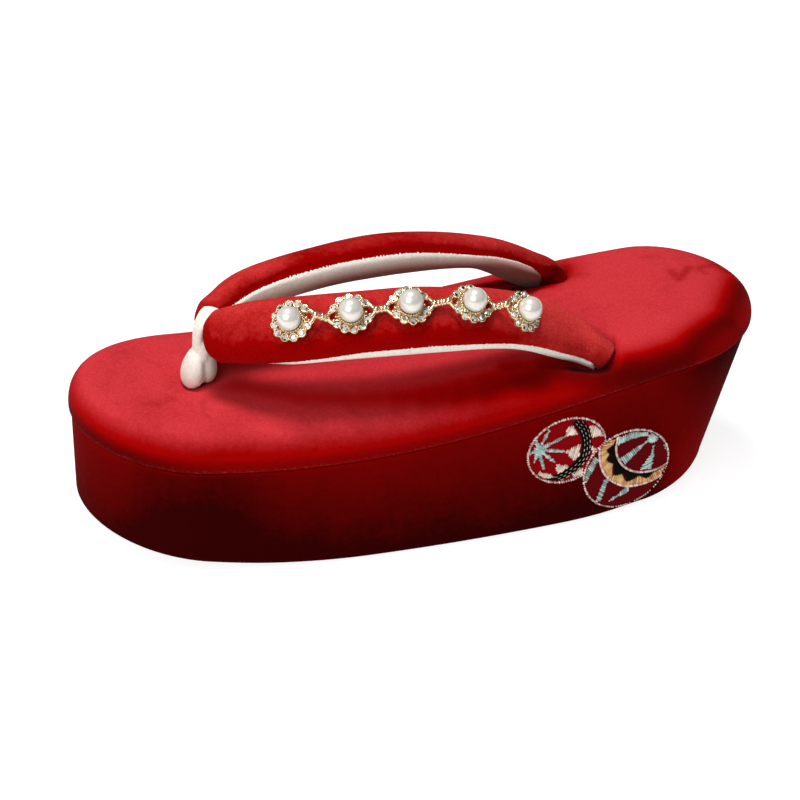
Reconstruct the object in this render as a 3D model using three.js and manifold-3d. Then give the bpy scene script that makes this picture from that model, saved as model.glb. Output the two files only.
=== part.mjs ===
// Zori for a left foot: a velvet-wrapped wedge sole with a padded top, padded straps joined
// at the toe, a cloth toe post, and a chain of pearls in gilt flowers on the outer strap.
// Millimetres. +X points to the toe, +Y to the wearer's left, +Z up, and the floor is z = 0.
import * as THREE from 'three';
import { mergeVertices } from 'three/addons/utils/BufferGeometryUtils.js';
import Module from 'manifold-3d';

const wasm = await Module();
wasm.setup();

// Clearance between pieces that touch
const GAP = 0.3;

// Sole, a row for each station from heel to toe: half width of the seam between pad and
// side wall, height of that seam above the floor, and thickness of the pad above it
const HALF_LENGTH = 120;
const SOLE_STATIONS = [
  { x: -120, halfWidth: 34.2, seam: 57.5, pad: 8.9 },
  { x: -90, halfWidth: 35.8, seam: 55.9, pad: 9.5 },
  { x: -60, halfWidth: 38.7, seam: 51.8, pad: 10.0 },
  { x: -30, halfWidth: 40.7, seam: 47.0, pad: 10.5 },
  { x: 0, halfWidth: 41.5, seam: 42.8, pad: 11.0 },
  { x: 30, halfWidth: 41.0, seam: 40.5, pad: 11.5 },
  { x: 60, halfWidth: 39.4, seam: 40.5, pad: 12.1 },
  { x: 90, halfWidth: 36.9, seam: 42.9, pad: 12.6 },
  { x: 120, halfWidth: 36.0, seam: 47.9, pad: 13.1 },
];

// Rounding of the plan outline at each end: reach along the sole and squareness
const TOE_END = { reach: 39, power: 2.0 };
const HEEL_END = { reach: 34, power: 1.95 };
const END_STEPS = 8;
const SIDE_STEPS = 12;

// Side wall: the tuck under the pad's edge, the inward draft at the side and at the toe,
// and the undercut of the heel's back, which is full at the heel and fades out forwards
const WALL_TUCK = 0.8;
const SIDE_DRAFT = -0.6;
const TOE_DRAFT = 0.1;
const TOE_DRAFT_LENGTH = 60;
const HEEL_UNDERCUT = { reach: 14, full: -98, none: -42 };

// Bottom: flat between the two springs, lifted towards the toe and under the heel
const TOE_SPRING = { from: 26, rise: 14.0 };
const HEEL_SPRING = { from: -60, end: -110, rise: 4.9 };
const BOTTOM_EDGE_RADIUS = 2.4;
const HEEL_EDGE_RADIUS = 5;
const BOTTOM_EDGE_ANGLES = [90, 60, 30, 0];
const WALL_DROPS = [0.75, 0.5, 0.25, 0.05];

// Pad: depth of the seam groove, reach of its rounded edge, side bulge and crown of its top
const SEAM_GROOVE = 1.8;
const EDGE_ROLL = 9.5;
const EDGE_BULGE = 0.5;
const CROWN = 2.4;
const CROWN_SHARES = [0.15, 0.4, 0.65, 0.85];
const ROLL_ANGLES = [90, 77, 64, 52, 40, 28, 16, 5];

// Outer strap, a row for each station from the toe to the rear foot: its centre, the half
// width and half depth of its oval section, and how far its face leans up from level
const STRAP_STATIONS = [
  { x: 71.8, y: 5.3, z: 73.9, halfWidth: 8.7, halfDepth: 6.0, lean: 32 },
  { x: 56.0, y: 13.5, z: 78.4, halfWidth: 10.7, halfDepth: 6.8, lean: 50 },
  { x: 30.0, y: 19.1, z: 80.6, halfWidth: 11.2, halfDepth: 6.9, lean: 59 },
  { x: 0.0, y: 22.1, z: 80.2, halfWidth: 11.0, halfDepth: 6.9, lean: 60 },
  { x: -28.0, y: 21.8, z: 74.8, halfWidth: 9.7, halfDepth: 6.8, lean: 57 },
  { x: -47.5, y: 22.2, z: 65.2, halfWidth: 7.3, halfDepth: 6.4, lean: 40 },
  { x: -55.2, y: 25.0, z: 60.8, halfWidth: 5.6, halfDepth: 5.4, lean: 25 },
  { x: -59.8, y: 26.9, z: 57.6, halfWidth: 4.6, halfDepth: 4.4, lean: 15 },
];
const STRAP_POWER = 2.4;
const STRAP_STEPS = 32;
const STRAP_SIDES = 18;
const STRAP_CAP = [{ scale: 0.55, push: 1.6 }, { scale: 0.86, push: 1.0 }];
const ROUTE_STEP = 1e-3;

// Toe post: a band looped over the joint of the straps, and its gathered foot in the pad
const BAND_ROUTE = [
  { x: 76.0, z: 62.0 },
  { x: 75.4, z: 69.5 },
  { x: 74.8, z: 76.5 },
  { x: 71.5, z: 81.2 },
  { x: 66.0, z: 78.0 },
  { x: 67.0, z: 69.0 },
  { x: 72.0, z: 61.5 },
];
const BAND_HALF_WIDTH = 4.6;
const BAND_HALF_DEPTH = 1.7;
const BAND_STEPS = 18;
const BAND_SIDES = 10;
const FOOT = { x: 76.8, z: 60.2, halfLength: 6.1, halfWidth: 6.0, halfHeight: 7.5 };

// Pearl chain on the outer strap: share of the strap's route and turn about its section,
// where 90 degrees is the middle of the face and more is nearer the top edge
const CHAIN = [
  { along: 0.192, turn: 88 },
  { along: 0.290, turn: 88 },
  { along: 0.380, turn: 91 },
  { along: 0.475, turn: 91 },
  { along: 0.568, turn: 86 },
];
const PEARL_RADIUS = 4.4;
const PEARL_LIFT = 5.0;
const SCALLOPS = 12;
const SCALLOP_STEPS = 3;

// Flower setting from its back, over the scalloped rim and the collar, into the pearl's dish
const SETTING_PROFILE = [
  { radius: 6.7, scallop: 0.7, height: 0 },
  { radius: 6.7, scallop: 0.7, height: 1.1 },
  { radius: 4.9, scallop: 0, height: 1.7 },
  { radius: 4.4, scallop: 0, height: 3.2 },
  { radius: 1.6, scallop: 0, height: 0.3 },
];
const FLOWER_REACH = SETTING_PROFILE[0].radius + SETTING_PROFILE[0].scallop / 2;

// Links of the chain, each a row of joined beads
const LINK_BEAD_RADIUS = 0.95;
const LINK_BEAD_PITCH = 1.75;

// Colours
const VELVET_RED = 0xa31c1e;
const STRAP_RED = 0xb92622;
const CREAM = 0xefe7de;
const GILT = 0xd8b878;
const PEARL_WHITE = 0xf4f4ee;

const clamp = THREE.MathUtils.clamp;
const lerp = THREE.MathUtils.lerp;
const radians = THREE.MathUtils.degToRad;

// A smooth value through evenly stepped rows, where position counts in rows
function smoothColumn(rows, column, position) {
  const last = rows.length - 1;
  const index = clamp(Math.floor(position), 0, last - 1);
  const fraction = clamp(position, 0, last) - index;
  const here = rows[index][column];
  const next = rows[index + 1][column];
  const before = index > 0 ? rows[index - 1][column] : 2 * here - next;
  const after = index < last - 1 ? rows[index + 2][column] : 2 * next - here;
  const bend = 2 * before - 5 * here + 4 * next - after;
  const twist = 3 * (here - next) + after - before;
  return here + 0.5 * fraction * (next - before + fraction * (bend + fraction * twist));
}

function soleValue(column, x) {
  const step = SOLE_STATIONS[1].x - SOLE_STATIONS[0].x;
  return smoothColumn(SOLE_STATIONS, column, (x - SOLE_STATIONS[0].x) / step);
}

// Triangles that close a ring of points, in strips between the points that face each other
function ringCap(first, sides) {
  const triangles = [];
  for (let side = 0; side < sides / 2; side += 1) {
    const facing = sides - side;
    if (side + 1 < facing - 1) {
      triangles.push([first + side, first + side + 1, first + facing - 1]);
    }
    if (side > 0) {
      triangles.push([first + side, first + facing - 1, first + facing]);
    }
  }
  return triangles;
}

// A closed solid through rings of points
function loft(rings) {
  const sides = rings[0].length;
  const points = rings.flat();
  const end = rings.length - 1;
  const triangles = ringCap(end * sides, sides);
  ringCap(0, sides).forEach(([a, b, c]) => triangles.push([a, c, b]));
  const at = (ring, side) => ring * sides + (side % sides);
  for (let ring = 0; ring < end; ring += 1) {
    for (let side = 0; side < sides; side += 1) {
      triangles.push([at(ring, side), at(ring, side + 1), at(ring + 1, side + 1)]);
      triangles.push([at(ring, side), at(ring + 1, side + 1), at(ring + 1, side)]);
    }
  }
  const cross = new THREE.Vector3();
  let volume = 0;
  for (const [a, b, c] of triangles) {
    volume += points[a].dot(cross.crossVectors(points[b], points[c]));
  }
  const outward = volume > 0 ? triangles : triangles.map(([a, b, c]) => [a, c, b]);
  const geometry = new THREE.BufferGeometry();
  geometry.setFromPoints(points);
  geometry.setIndex(outward.flat());
  return geometry;
}

function toManifold(geometry) {
  const bare = geometry.clone();
  bare.deleteAttribute('normal');
  bare.deleteAttribute('uv');
  const merged = mergeVertices(bare, 1e-5);
  return new wasm.Manifold(new wasm.Mesh({
    numProp: 3,
    vertProperties: new Float32Array(merged.attributes.position.array),
    triVerts: new Uint32Array(merged.index.array),
  }));
}

function toGeometry(solid) {
  const mesh = solid.getMesh();
  const geometry = new THREE.BufferGeometry();
  geometry.setAttribute('position', new THREE.BufferAttribute(mesh.vertProperties, 3));
  geometry.setIndex(new THREE.BufferAttribute(mesh.triVerts, 1));
  return geometry;
}

// Plan outline of the seam, left half from toe to heel and then the right half back
function seamOutline() {
  const left = [];
  const toeStart = HALF_LENGTH - TOE_END.reach;
  const heelStart = -HALF_LENGTH + HEEL_END.reach;
  for (let step = 0; step < END_STEPS; step += 1) {
    const angle = (step / END_STEPS) * (Math.PI / 2);
    const x = toeStart + TOE_END.reach * Math.cos(angle) ** (2 / TOE_END.power);
    left.push({ x, y: Math.sin(angle) ** (2 / TOE_END.power) * soleValue('halfWidth', x) });
  }
  for (let step = 0; step <= SIDE_STEPS; step += 1) {
    const x = lerp(toeStart, heelStart, step / SIDE_STEPS);
    left.push({ x, y: soleValue('halfWidth', x) });
  }
  for (let step = END_STEPS - 1; step >= 0; step -= 1) {
    const angle = (step / END_STEPS) * (Math.PI / 2);
    const x = heelStart - HEEL_END.reach * Math.cos(angle) ** (2 / HEEL_END.power);
    left.push({ x, y: Math.sin(angle) ** (2 / HEEL_END.power) * soleValue('halfWidth', x) });
  }
  const right = left.slice(1, -1).reverse().map(({ x, y }) => ({ x, y: -y }));
  const points = [...left, ...right];
  return points.map((point, index) => {
    const next = points[(index + 1) % points.length];
    const before = points.at(index - 1);
    const along = new THREE.Vector2(next.x - before.x, next.y - before.y).normalize();
    return { ...point, outX: along.y, outY: -along.x };
  });
}

const OUTLINE = seamOutline();

function insetPoint(point, inset) {
  return { x: point.x - point.outX * inset, y: point.y - point.outY * inset };
}

function bottomHeight(x) {
  const toe = Math.max((x - TOE_SPRING.from) / (HALF_LENGTH - TOE_SPRING.from), 0);
  const heel = Math.max((x - HEEL_SPRING.from) / (HEEL_SPRING.end - HEEL_SPRING.from), 0);
  return TOE_SPRING.rise * toe ** 2 + HEEL_SPRING.rise * heel ** 2;
}

function heelShare(x) {
  return 1 - THREE.MathUtils.smoothstep(x, HEEL_UNDERCUT.full, HEEL_UNDERCUT.none);
}

// A point of the side wall, where drop runs from 0 at the seam to 1 at the bottom
function wallPlan(point, drop, extraInset) {
  const toe = THREE.MathUtils.smoothstep(point.x, HALF_LENGTH - TOE_DRAFT_LENGTH, HALF_LENGTH);
  const inset = WALL_TUCK + lerp(SIDE_DRAFT, TOE_DRAFT, toe) * drop + extraInset;
  const plan = insetPoint(point, inset);
  return { x: plan.x + HEEL_UNDERCUT.reach * drop * heelShare(point.x), y: plan.y };
}

// The edge of the hidden faces between sole and pad, in the bottom of the seam groove
function seamRing(lift) {
  return OUTLINE.map((point) => {
    const { x, y } = insetPoint(point, SEAM_GROOVE);
    return new THREE.Vector3(x, y, soleValue('seam', x) + lift);
  });
}

// The wedge sole: plain bottom, rounded bottom edge, drafted wall, and a top under the pad
function soleBody() {
  const rings = [];
  const edge = (x) => lerp(BOTTOM_EDGE_RADIUS, HEEL_EDGE_RADIUS, heelShare(x));
  for (const angle of BOTTOM_EDGE_ANGLES) {
    rings.push(OUTLINE.map((point) => {
      const radius = edge(point.x);
      const plan = wallPlan(point, 1, radius * (1 - Math.cos(radians(angle))));
      const rise = radius * (1 - Math.sin(radians(angle)));
      return new THREE.Vector3(plan.x, plan.y, bottomHeight(plan.x) + rise);
    }));
  }
  for (const drop of WALL_DROPS) {
    rings.push(OUTLINE.map((point) => {
      const plan = wallPlan(point, drop, 0);
      const foot = bottomHeight(wallPlan(point, 1, 0).x) + edge(point.x);
      return new THREE.Vector3(plan.x, plan.y, lerp(soleValue('seam', point.x), foot, drop));
    }));
  }
  rings.push(seamRing(-GAP));
  return loft(rings);
}

// The padded top: a crowned face, a rounded edge, and an underside that lies on the seam
function padBlank() {
  const rings = [];
  for (const share of CROWN_SHARES) {
    rings.push(OUTLINE.map((point) => {
      const plan = insetPoint(point, EDGE_ROLL);
      const x = plan.x * share;
      const rise = soleValue('pad', x) + CROWN * (1 - share ** 2);
      return new THREE.Vector3(x, plan.y * share, soleValue('seam', x) + rise);
    }));
  }
  for (const angle of ROLL_ANGLES) {
    const roll = EDGE_ROLL * (1 - Math.cos(radians(angle)));
    const bulge = EDGE_BULGE * Math.sin(radians(Math.min(2 * angle, 180)));
    rings.push(OUTLINE.map((point) => {
      const plan = insetPoint(point, roll - bulge);
      const rise = soleValue('pad', plan.x) * Math.sin(radians(angle));
      return new THREE.Vector3(plan.x, plan.y, soleValue('seam', plan.x) + rise);
    }));
  }
  rings.push(seamRing(0));
  return loft(rings);
}

function strapCentre(share) {
  const position = share * (STRAP_STATIONS.length - 1);
  const [x, y, z] = ['x', 'y', 'z'].map((key) => smoothColumn(STRAP_STATIONS, key, position));
  return new THREE.Vector3(x, y, z);
}

// Axes of the strap at a share of its route: along it, out of its face, and across it
function strapFrame(share) {
  const before = strapCentre(Math.max(share - ROUTE_STEP, 0));
  const along = strapCentre(Math.min(share + ROUTE_STEP, 1)).sub(before).normalize();
  const position = share * (STRAP_STATIONS.length - 1);
  const lean = radians(smoothColumn(STRAP_STATIONS, 'lean', position));
  const outward = new THREE.Vector3(along.y, -along.x, 0).normalize();
  outward.multiplyScalar(Math.sign(outward.y) * Math.cos(lean));
  const face = outward.setZ(Math.sin(lean));
  face.addScaledVector(along, -face.dot(along)).normalize();
  const across = new THREE.Vector3().crossVectors(along, face);
  return { along, face, across };
}

const bowed = (value) => Math.sign(value) * Math.abs(value) ** (2 / STRAP_POWER);

// A point on the strap's skin, grown outwards by some clearance
function strapSkin(share, angle, grow, scale) {
  const position = share * (STRAP_STATIONS.length - 1);
  const { face, across } = strapFrame(share);
  const halfWidth = smoothColumn(STRAP_STATIONS, 'halfWidth', position) + grow;
  const halfDepth = smoothColumn(STRAP_STATIONS, 'halfDepth', position) + grow;
  return strapCentre(share)
    .addScaledVector(across, halfWidth * bowed(Math.cos(angle)) * scale)
    .addScaledVector(face, halfDepth * bowed(Math.sin(angle)) * scale);
}

function strapRing(share, grow, scale, push) {
  const { along } = strapFrame(share);
  return Array.from({ length: STRAP_SIDES }, (_, side) => {
    const angle = ((side + 0.5) / STRAP_SIDES) * 2 * Math.PI;
    return strapSkin(share, angle, grow, scale).addScaledVector(along, push);
  });
}

// One strap, rounded off at both ends
function strapSolid(grow) {
  const rings = STRAP_CAP.map(({ scale, push }) => strapRing(0, grow, scale, -push - grow));
  for (let step = 0; step <= STRAP_STEPS; step += 1) {
    rings.push(strapRing(step / STRAP_STEPS, grow, 1, 0));
  }
  STRAP_CAP.toReversed().forEach(({ scale, push }) => {
    rings.push(strapRing(1, grow, scale, push + grow));
  });
  return toManifold(loft(rings));
}

// Both straps as one solid, joined where they meet at the toe
function strapPair(grow) {
  const outer = strapSolid(grow);
  return outer.add(outer.mirror([0, 1, 0]));
}

// The toe post's band, a flat oval swept over the joint of the straps
function postBand() {
  const last = BAND_ROUTE.length - 1;
  const centre = (share) => new THREE.Vector3(
    smoothColumn(BAND_ROUTE, 'x', share * last),
    0,
    smoothColumn(BAND_ROUTE, 'z', share * last),
  );
  const sideways = new THREE.Vector3(0, 1, 0);
  const rings = [];
  for (let step = 0; step <= BAND_STEPS; step += 1) {
    const share = step / BAND_STEPS;
    const before = centre(Math.max(share - ROUTE_STEP, 0));
    const along = centre(Math.min(share + ROUTE_STEP, 1)).sub(before).normalize();
    const outward = new THREE.Vector3().crossVectors(along, sideways);
    rings.push(Array.from({ length: BAND_SIDES }, (_, side) => {
      const angle = (side / BAND_SIDES) * 2 * Math.PI;
      return centre(share)
        .addScaledVector(sideways, BAND_HALF_WIDTH * Math.cos(angle))
        .addScaledVector(outward, BAND_HALF_DEPTH * Math.sin(angle));
    }));
  }
  return toManifold(loft(rings));
}

// The post's gathered foot, sunk a little into the pad
function postFoot(grow) {
  const foot = new THREE.SphereGeometry(1, 16, 10);
  foot.scale(FOOT.halfLength + grow, FOOT.halfWidth + grow, FOOT.halfHeight + grow);
  foot.translate(FOOT.x, 0, FOOT.z);
  return toManifold(foot);
}

// A flower setting: scalloped plate, raised collar and a dish for the pearl, face along +Z
function settingGeometry() {
  const sides = SCALLOPS * SCALLOP_STEPS;
  return loft(SETTING_PROFILE.map(({ radius, scallop, height }) => (
    Array.from({ length: sides }, (_, side) => {
      const angle = (side / sides) * 2 * Math.PI;
      const reach = radius + scallop * (Math.abs(Math.cos((SCALLOPS * angle) / 2)) - 0.5);
      return new THREE.Vector3(reach * Math.cos(angle), reach * Math.sin(angle), height);
    })
  )));
}

// A link: gilt beads in a row along +X, joined to each other, over the given length
function linkGeometry(length) {
  const steps = Math.ceil((length - 2 * LINK_BEAD_RADIUS) / LINK_BEAD_PITCH);
  const pitch = (length - 2 * LINK_BEAD_RADIUS) / steps;
  let beads = null;
  for (let index = 0; index <= steps; index += 1) {
    const bead = new THREE.SphereGeometry(LINK_BEAD_RADIUS, 8, 6);
    bead.translate((index - steps / 2) * pitch, 0, 0);
    const solid = toManifold(bead);
    beads = beads ? beads.add(solid) : solid;
  }
  return toGeometry(beads);
}

// A placing on the strap's skin: +X along the strap, +Z out of the skin, lifted by some mm
function seatOnStrap(along, turn, lift) {
  const angle = radians(turn);
  const ahead = strapSkin(along, angle + ROUTE_STEP, 0, 1);
  const sideways = ahead.sub(strapSkin(along, angle - ROUTE_STEP, 0, 1));
  const { along: forward, face } = strapFrame(along);
  const outward = new THREE.Vector3().crossVectors(sideways, forward).normalize();
  if (outward.dot(face) < 0) outward.negate();
  const level = new THREE.Vector3().crossVectors(outward, forward);
  const seat = new THREE.Group();
  seat.quaternion.setFromRotationMatrix(new THREE.Matrix4().makeBasis(forward, level, outward));
  seat.position.copy(strapSkin(along, angle, 0, 1)).addScaledVector(outward, lift);
  return seat;
}

function piece(name, geometry, color, roughness, metalness) {
  const material = new THREE.MeshStandardMaterial({ color, roughness, metalness });
  const mesh = new THREE.Mesh(geometry, material);
  mesh.name = name;
  return mesh;
}

function pearlChain() {
  const chain = new THREE.Group();
  const seats = CHAIN.map(({ along, turn }) => seatOnStrap(along, turn, GAP));
  seats.forEach((seat, index) => {
    seat.add(piece(`setting_${index + 1}`, settingGeometry(), GILT, 0.3, 1));
    const ball = new THREE.SphereGeometry(PEARL_RADIUS, 14, 10);
    ball.translate(0, 0, PEARL_LIFT);
    seat.add(piece(`pearl_${index + 1}`, ball, PEARL_WHITE, 0.25, 0));
    chain.add(seat);
  });
  for (let index = 0; index + 1 < CHAIN.length; index += 1) {
    const along = (CHAIN[index].along + CHAIN[index + 1].along) / 2;
    const turn = (CHAIN[index].turn + CHAIN[index + 1].turn) / 2;
    const seat = seatOnStrap(along, turn, LINK_BEAD_RADIUS + GAP);
    const apart = seats[index].position.distanceTo(seats[index + 1].position);
    const length = apart - 2 * (FLOWER_REACH + GAP);
    seat.add(piece(`link_${index + 1}`, linkGeometry(length), GILT, 0.3, 1));
    chain.add(seat);
  }
  return chain;
}

const roomForStraps = strapPair(GAP);
const pad = toManifold(padBlank()).subtract(roomForStraps).subtract(postFoot(GAP));
const post = postBand().add(postFoot(0)).subtract(roomForStraps);

const zori = new THREE.Group();
zori.add(piece('sole_body', soleBody(), VELVET_RED, 0.9, 0));
zori.add(piece('top_pad', toGeometry(pad), VELVET_RED, 0.9, 0));
zori.add(piece('straps', toGeometry(strapPair(0)), STRAP_RED, 0.9, 0));
zori.add(piece('front_post', toGeometry(post), CREAM, 0.8, 0));
zori.add(pearlChain());

export default zori;
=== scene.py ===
"""Zori for the left foot: velvet wedge sole and pad, padded straps lined with cream cloth, a cream
toe post, a pearl chain in gilt flowers, and two balls embroidered on the outer side wall.
Sizes in the tables are millimetres; the scene is in metres. +X is the toe, +Y the outer side."""
import math
import random
import bmesh
import bpy
import numpy as np
from mathutils import Euler, Matrix, Vector, noise
from mathutils.bvhtree import BVHTree


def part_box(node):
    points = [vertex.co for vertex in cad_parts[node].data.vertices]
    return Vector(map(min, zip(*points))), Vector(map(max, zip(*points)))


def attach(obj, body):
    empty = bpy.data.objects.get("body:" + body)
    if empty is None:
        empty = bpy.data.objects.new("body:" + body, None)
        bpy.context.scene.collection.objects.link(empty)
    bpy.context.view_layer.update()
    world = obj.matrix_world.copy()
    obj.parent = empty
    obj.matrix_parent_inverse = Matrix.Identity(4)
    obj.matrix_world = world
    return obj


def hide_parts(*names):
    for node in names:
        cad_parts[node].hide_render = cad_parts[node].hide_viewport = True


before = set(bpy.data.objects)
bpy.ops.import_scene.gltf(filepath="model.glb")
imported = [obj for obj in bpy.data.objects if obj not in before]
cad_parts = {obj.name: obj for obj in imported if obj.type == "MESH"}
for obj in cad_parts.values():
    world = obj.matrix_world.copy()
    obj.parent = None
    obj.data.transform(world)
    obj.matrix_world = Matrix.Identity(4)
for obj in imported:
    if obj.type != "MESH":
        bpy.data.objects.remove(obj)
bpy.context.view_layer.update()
MM = 0.001
scene = bpy.context.scene
random.seed(7)

# Sole stations from heel to toe: half width of the seam, height of the seam, pad above it
SOLE_X = np.arange(-120.0, 121.0, 30.0)
HALF_WIDTH = np.array([34.2, 35.8, 38.7, 40.7, 41.5, 41.0, 39.4, 36.9, 36.0])
SEAM = np.array([57.5, 55.9, 51.8, 47.0, 42.8, 40.5, 40.5, 42.9, 47.9])
PAD = np.array([8.9, 9.5, 10.0, 10.5, 11.0, 11.5, 12.1, 12.6, 13.1])
# Plan: half length, lengths of the two rounded ends, and how square the heel is
HALF_LENGTH = 120.0
TOE_REACH = 39.0
HEEL_REACH = 34.0
HEEL_POWER = 1.95
# Wall: its inset under the seam, how far it leans in at the sides and the toe, the heel's undercut,
# and where along the shoe the sides turn into heel and toe
WALL_TUCK = 0.8
SIDE_DRAFT = -0.6
TOE_DRAFT = 0.1
HEEL_UNDERCUT = 14.0
HEEL_SPAN = (-98.0, -42.0)
TOE_SPAN = (60.0, 120.0)
# Bottom: where toe and heel start to lift, where they are lifted and how far, and the edge's radius
TOE_SPRING = (26.0, 120.0, 14.0)
HEEL_SPRING = (-60.0, -110.0, 4.9)
EDGE_RADIUS = 2.4
HEEL_EDGE_RADIUS = 5.0
# Pad: width and bulge of its rolled edge, and how far its top is crowned
EDGE_ROLL = 9.5
EDGE_BULGE = 0.5
CROWN = 2.4
# Steps of the seam's outline round each end and along each side
END_STEPS = 26
SIDE_STEPS = 70

# Rows of the wall from the seam groove down: drop and inset of the groove, shares of the plain
# wall's height, and turns of the rounded bottom edge in degrees
GROOVE_ROWS = [(0.3, 1.0), (0.45, 0.5), (0.8, 0.15), (1.4, 0.0), (2.2, 0.0)]
WALL_ROWS = [0.08, 0.14, 0.22, 0.3, 0.38, 0.46, 0.54, 0.62, 0.7, 0.78, 0.86, 0.94]
EDGE_TURNS = [0, 15, 30, 45, 60, 75, 90]
WALL_COUNT = len(GROOVE_ROWS) + len(WALL_ROWS) + len(EDGE_TURNS)

# Outer strap from toe to rear: centre, half width, half depth, lean of the face in degrees
STRAP = np.array([
    (71.8, 5.3, 73.9, 8.7, 6.0, 32),
    (56.0, 13.5, 78.4, 10.7, 6.8, 50),
    (30.0, 19.1, 80.6, 11.2, 6.9, 59),
    (0.0, 22.1, 80.2, 11.0, 6.9, 60),
    (-28.0, 21.8, 74.8, 9.7, 6.8, 57),
    (-47.5, 22.2, 65.2, 7.3, 6.4, 40),
    (-55.2, 25.0, 60.8, 5.6, 5.4, 25),
    (-59.8, 26.9, 57.6, 4.6, 4.4, 15),
])
# How square the section is, how far the ends reach past the first and last row, the lengths over
# which they are rounded, and how much the front end is drawn out
STRAP_POWER = 2.4
STRAP_CAP = 2.4
REAR_CAP = 0.7
FRONT_ROUND = 6.0
REAR_ROUND = 6.5
FRONT_PUSH = 1.35
# The strap's hidden back is flatter towards its rear: shares of the length where that starts, is
# full, fades and ends, and its amount
BACK_FLAT = (0.42, 0.6, 0.86, 1.0, 0.42)
# Roundness of an end, and how much closer the rows lie there
END_POWER = 2.3
END_CROWDING = 0.6

# The stuffing is a little uneven: half depth and half width of a plain section, waves to the
# millimetre, and their height
WAVE_SECTION = (6.0, 9.0)
WAVE_STEP = 0.05
WAVE_HEIGHT = 0.3
STRAP_GRID = (170, 72)

# Where velvet and lining meet: share of the strap's length, low and high edge of the lining round
# the section in degrees
LINING = np.array([
    (0.0, -34, 202), (0.1, -30, 191), (0.16, -22, 184), (0.22, 0, 177), (0.31, 11, 173),
    (0.42, 14, 175), (0.5, 12, 178), (0.58, 16, 184), (0.64, 26, 191), (0.68, 32, 202),
    (0.72, 38, 226), (0.76, 45, 266), (0.82, 54, 312), (0.88, 50, 328), (0.935, 22, 340),
    (0.972, -4, 354),
])
# The lining's distance from the strap's two ends, how far its edges fray in degrees, how deep they
# are tucked in and how far its middle stands out
LINING_START = 3.5
LINING_STOP = 4.9
LINING_FRAY = 3.6
LINING_TUCK = 0.9
LINING_STAND = 0.65
LINING_GRID = (420, 30)
# Threads along a frayed edge, shares of the lining's width over which fraying and tuck fade, and
# share of its length over which the tuck fades at its ends
FRAY_THREADS = 390
FRAY_FADE = (0.06, 0.2)
TUCK_FADE = 0.07
END_FADE = 0.03
# The velvet's seams along the lining: spread round the section and depth
SEAM_SPREAD = 0.09
SEAM_DEPTH = 0.28

# Soft creases across the straps: share, angle and spread round the section, width, depth
STRAP_CREASES = [
    (0.06, 70, 45, 0.02, 0.25),
    (0.60, 40, 30, 0.03, 0.2),
    (0.88, 60, 40, 0.03, 0.12),
]

# Toe post: the band's route, its half width across the foot and its half depth
BAND = np.array([
    (76.2, 1.6, 61.0, 3.0, 2.0),
    (76.2, 0.8, 66.5, 3.2, 1.8),
    (75.9, 0.0, 71.5, 3.4, 1.75),
    (74.9, 0.0, 76.0, 4.1, 1.7),
    (71.6, 0.0, 79.9, 4.6, 1.6),
    (66.2, 0.0, 77.4, 3.4, 1.4),
    (66.6, 0.0, 70.5, 3.2, 1.3),
    (71.0, 0.0, 64.0, 3.2, 1.5),
])
# Lobes of the gathered foot: centre, half sizes, how far the top leans back and how it narrows
FOOT_LOBES = [
    ((77.6, 1.0, 60.8), (4.0, 6.2, 7.6), -0.2, 0.3),
    ((73.6, 1.4, 60.2), (3.5, 5.2, 5.6), -0.05, 0.1),
    ((75.2, 3.0, 64.6), (2.0, 2.2, 1.6), 0.0, 0.0),
    ((74.9, 1.6, 67.4), (2.5, 3.0, 4.2), -0.1, 0.2),
]
# The thread that gathers the foot, and the side of the foot that it lies on
FOOT_THREAD = [(77.4, 6.5, 56.5), (76.3, 6.4, 57.4), (75.4, 6.3, 58.5), (74.6, 6.2, 59.4)]
THREAD_SIDE = Vector((0.245, 0.84, 0.484))

# Strokes where the pad's pile was brushed the other way. Each is a line of points in plan, and each
# point but the last gives the half width and the depth of the stroke from there to the next.
NAP_STROKES = [
    [(-95.0, -8.6, 1.6, 0.5), (-95.4, -2.1, 1.7, 0.55), (-101.8, -8.8)],
    [(-104.9, -8.0, 1.4, 0.45), (-111.2, -9.5)],
    [(-104.8, -6.6, 1.4, 0.35), (-106.0, -4.1)],
    [(-60.9, -20.1, 2.0, 0.3), (-67.6, -16.6)],
    [(-89.2, -21.0, 1.8, 0.25), (-93.9, -19.4)],
    [(88.0, 12.0, 2.2, 0.2), (97.0, 15.0)],
    [(104.0, -6.0, 2.4, 0.2), (108.0, 4.0)],
]
# Wide soft strokes of painted shadow where the straps shade the pad and along its outer edge, in the same
# terms
PAINTED_SHADOW_STROKES = [
    [(66.0, 8.0, 5.5, 0.8), (46.0, 19.0, 5.5, 0.85), (26.0, 24.0, 6.5, 0.9), (15.0, 26.5, 7.5, 1.0),
     (5.0, 28.5, 8.5, 1.1), (-5.0, 30.0, 9.5, 1.2), (-15.0, 31.0, 9.5, 1.4), (-26.0, 31.5, 9.0, 1.6),
     (-40.0, 33.0, 8.0, 1.7), (-54.0, 36.5, 6.5, 1.8), (-70.0, 37.5, 6.5, 1.8), (-84.0, 36.0, 7.0, 1.8),
     (-104.0, 24.0, 7.0, 1.7), (-117.0, 4.0, 4.5, 1.0), (-114.0, -14.0)],
    [(-24.0, 25.5, 5.6, 1.3), (-36.0, 28.0, 5.6, 1.7), (-46.0, 30.0, 5.6, 2.1), (-57.0, 32.0)],
    [(-20.0, -22.0, 8.0, 1.4), (-58.0, -26.0)],
    [(60.0, -9.0, 7.0, 0.8), (0.0, -22.0)],
    [(-34.0, -20.0, 4.0, 2.2), (-53.0, -18.5)],
]

# Pearl chain: each flower has a pearl in a beaded collar, with a ring of stones in cups round it
FLOWERS = 5
PLACES = 12
# A pearl's radius, its middle above the flower's base, and the base below the CAD pearl's middle
PEARL_RADIUS = 4.05
PEARL_SEAT = 4.6
PEARL_LIFT = 5.0
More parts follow.
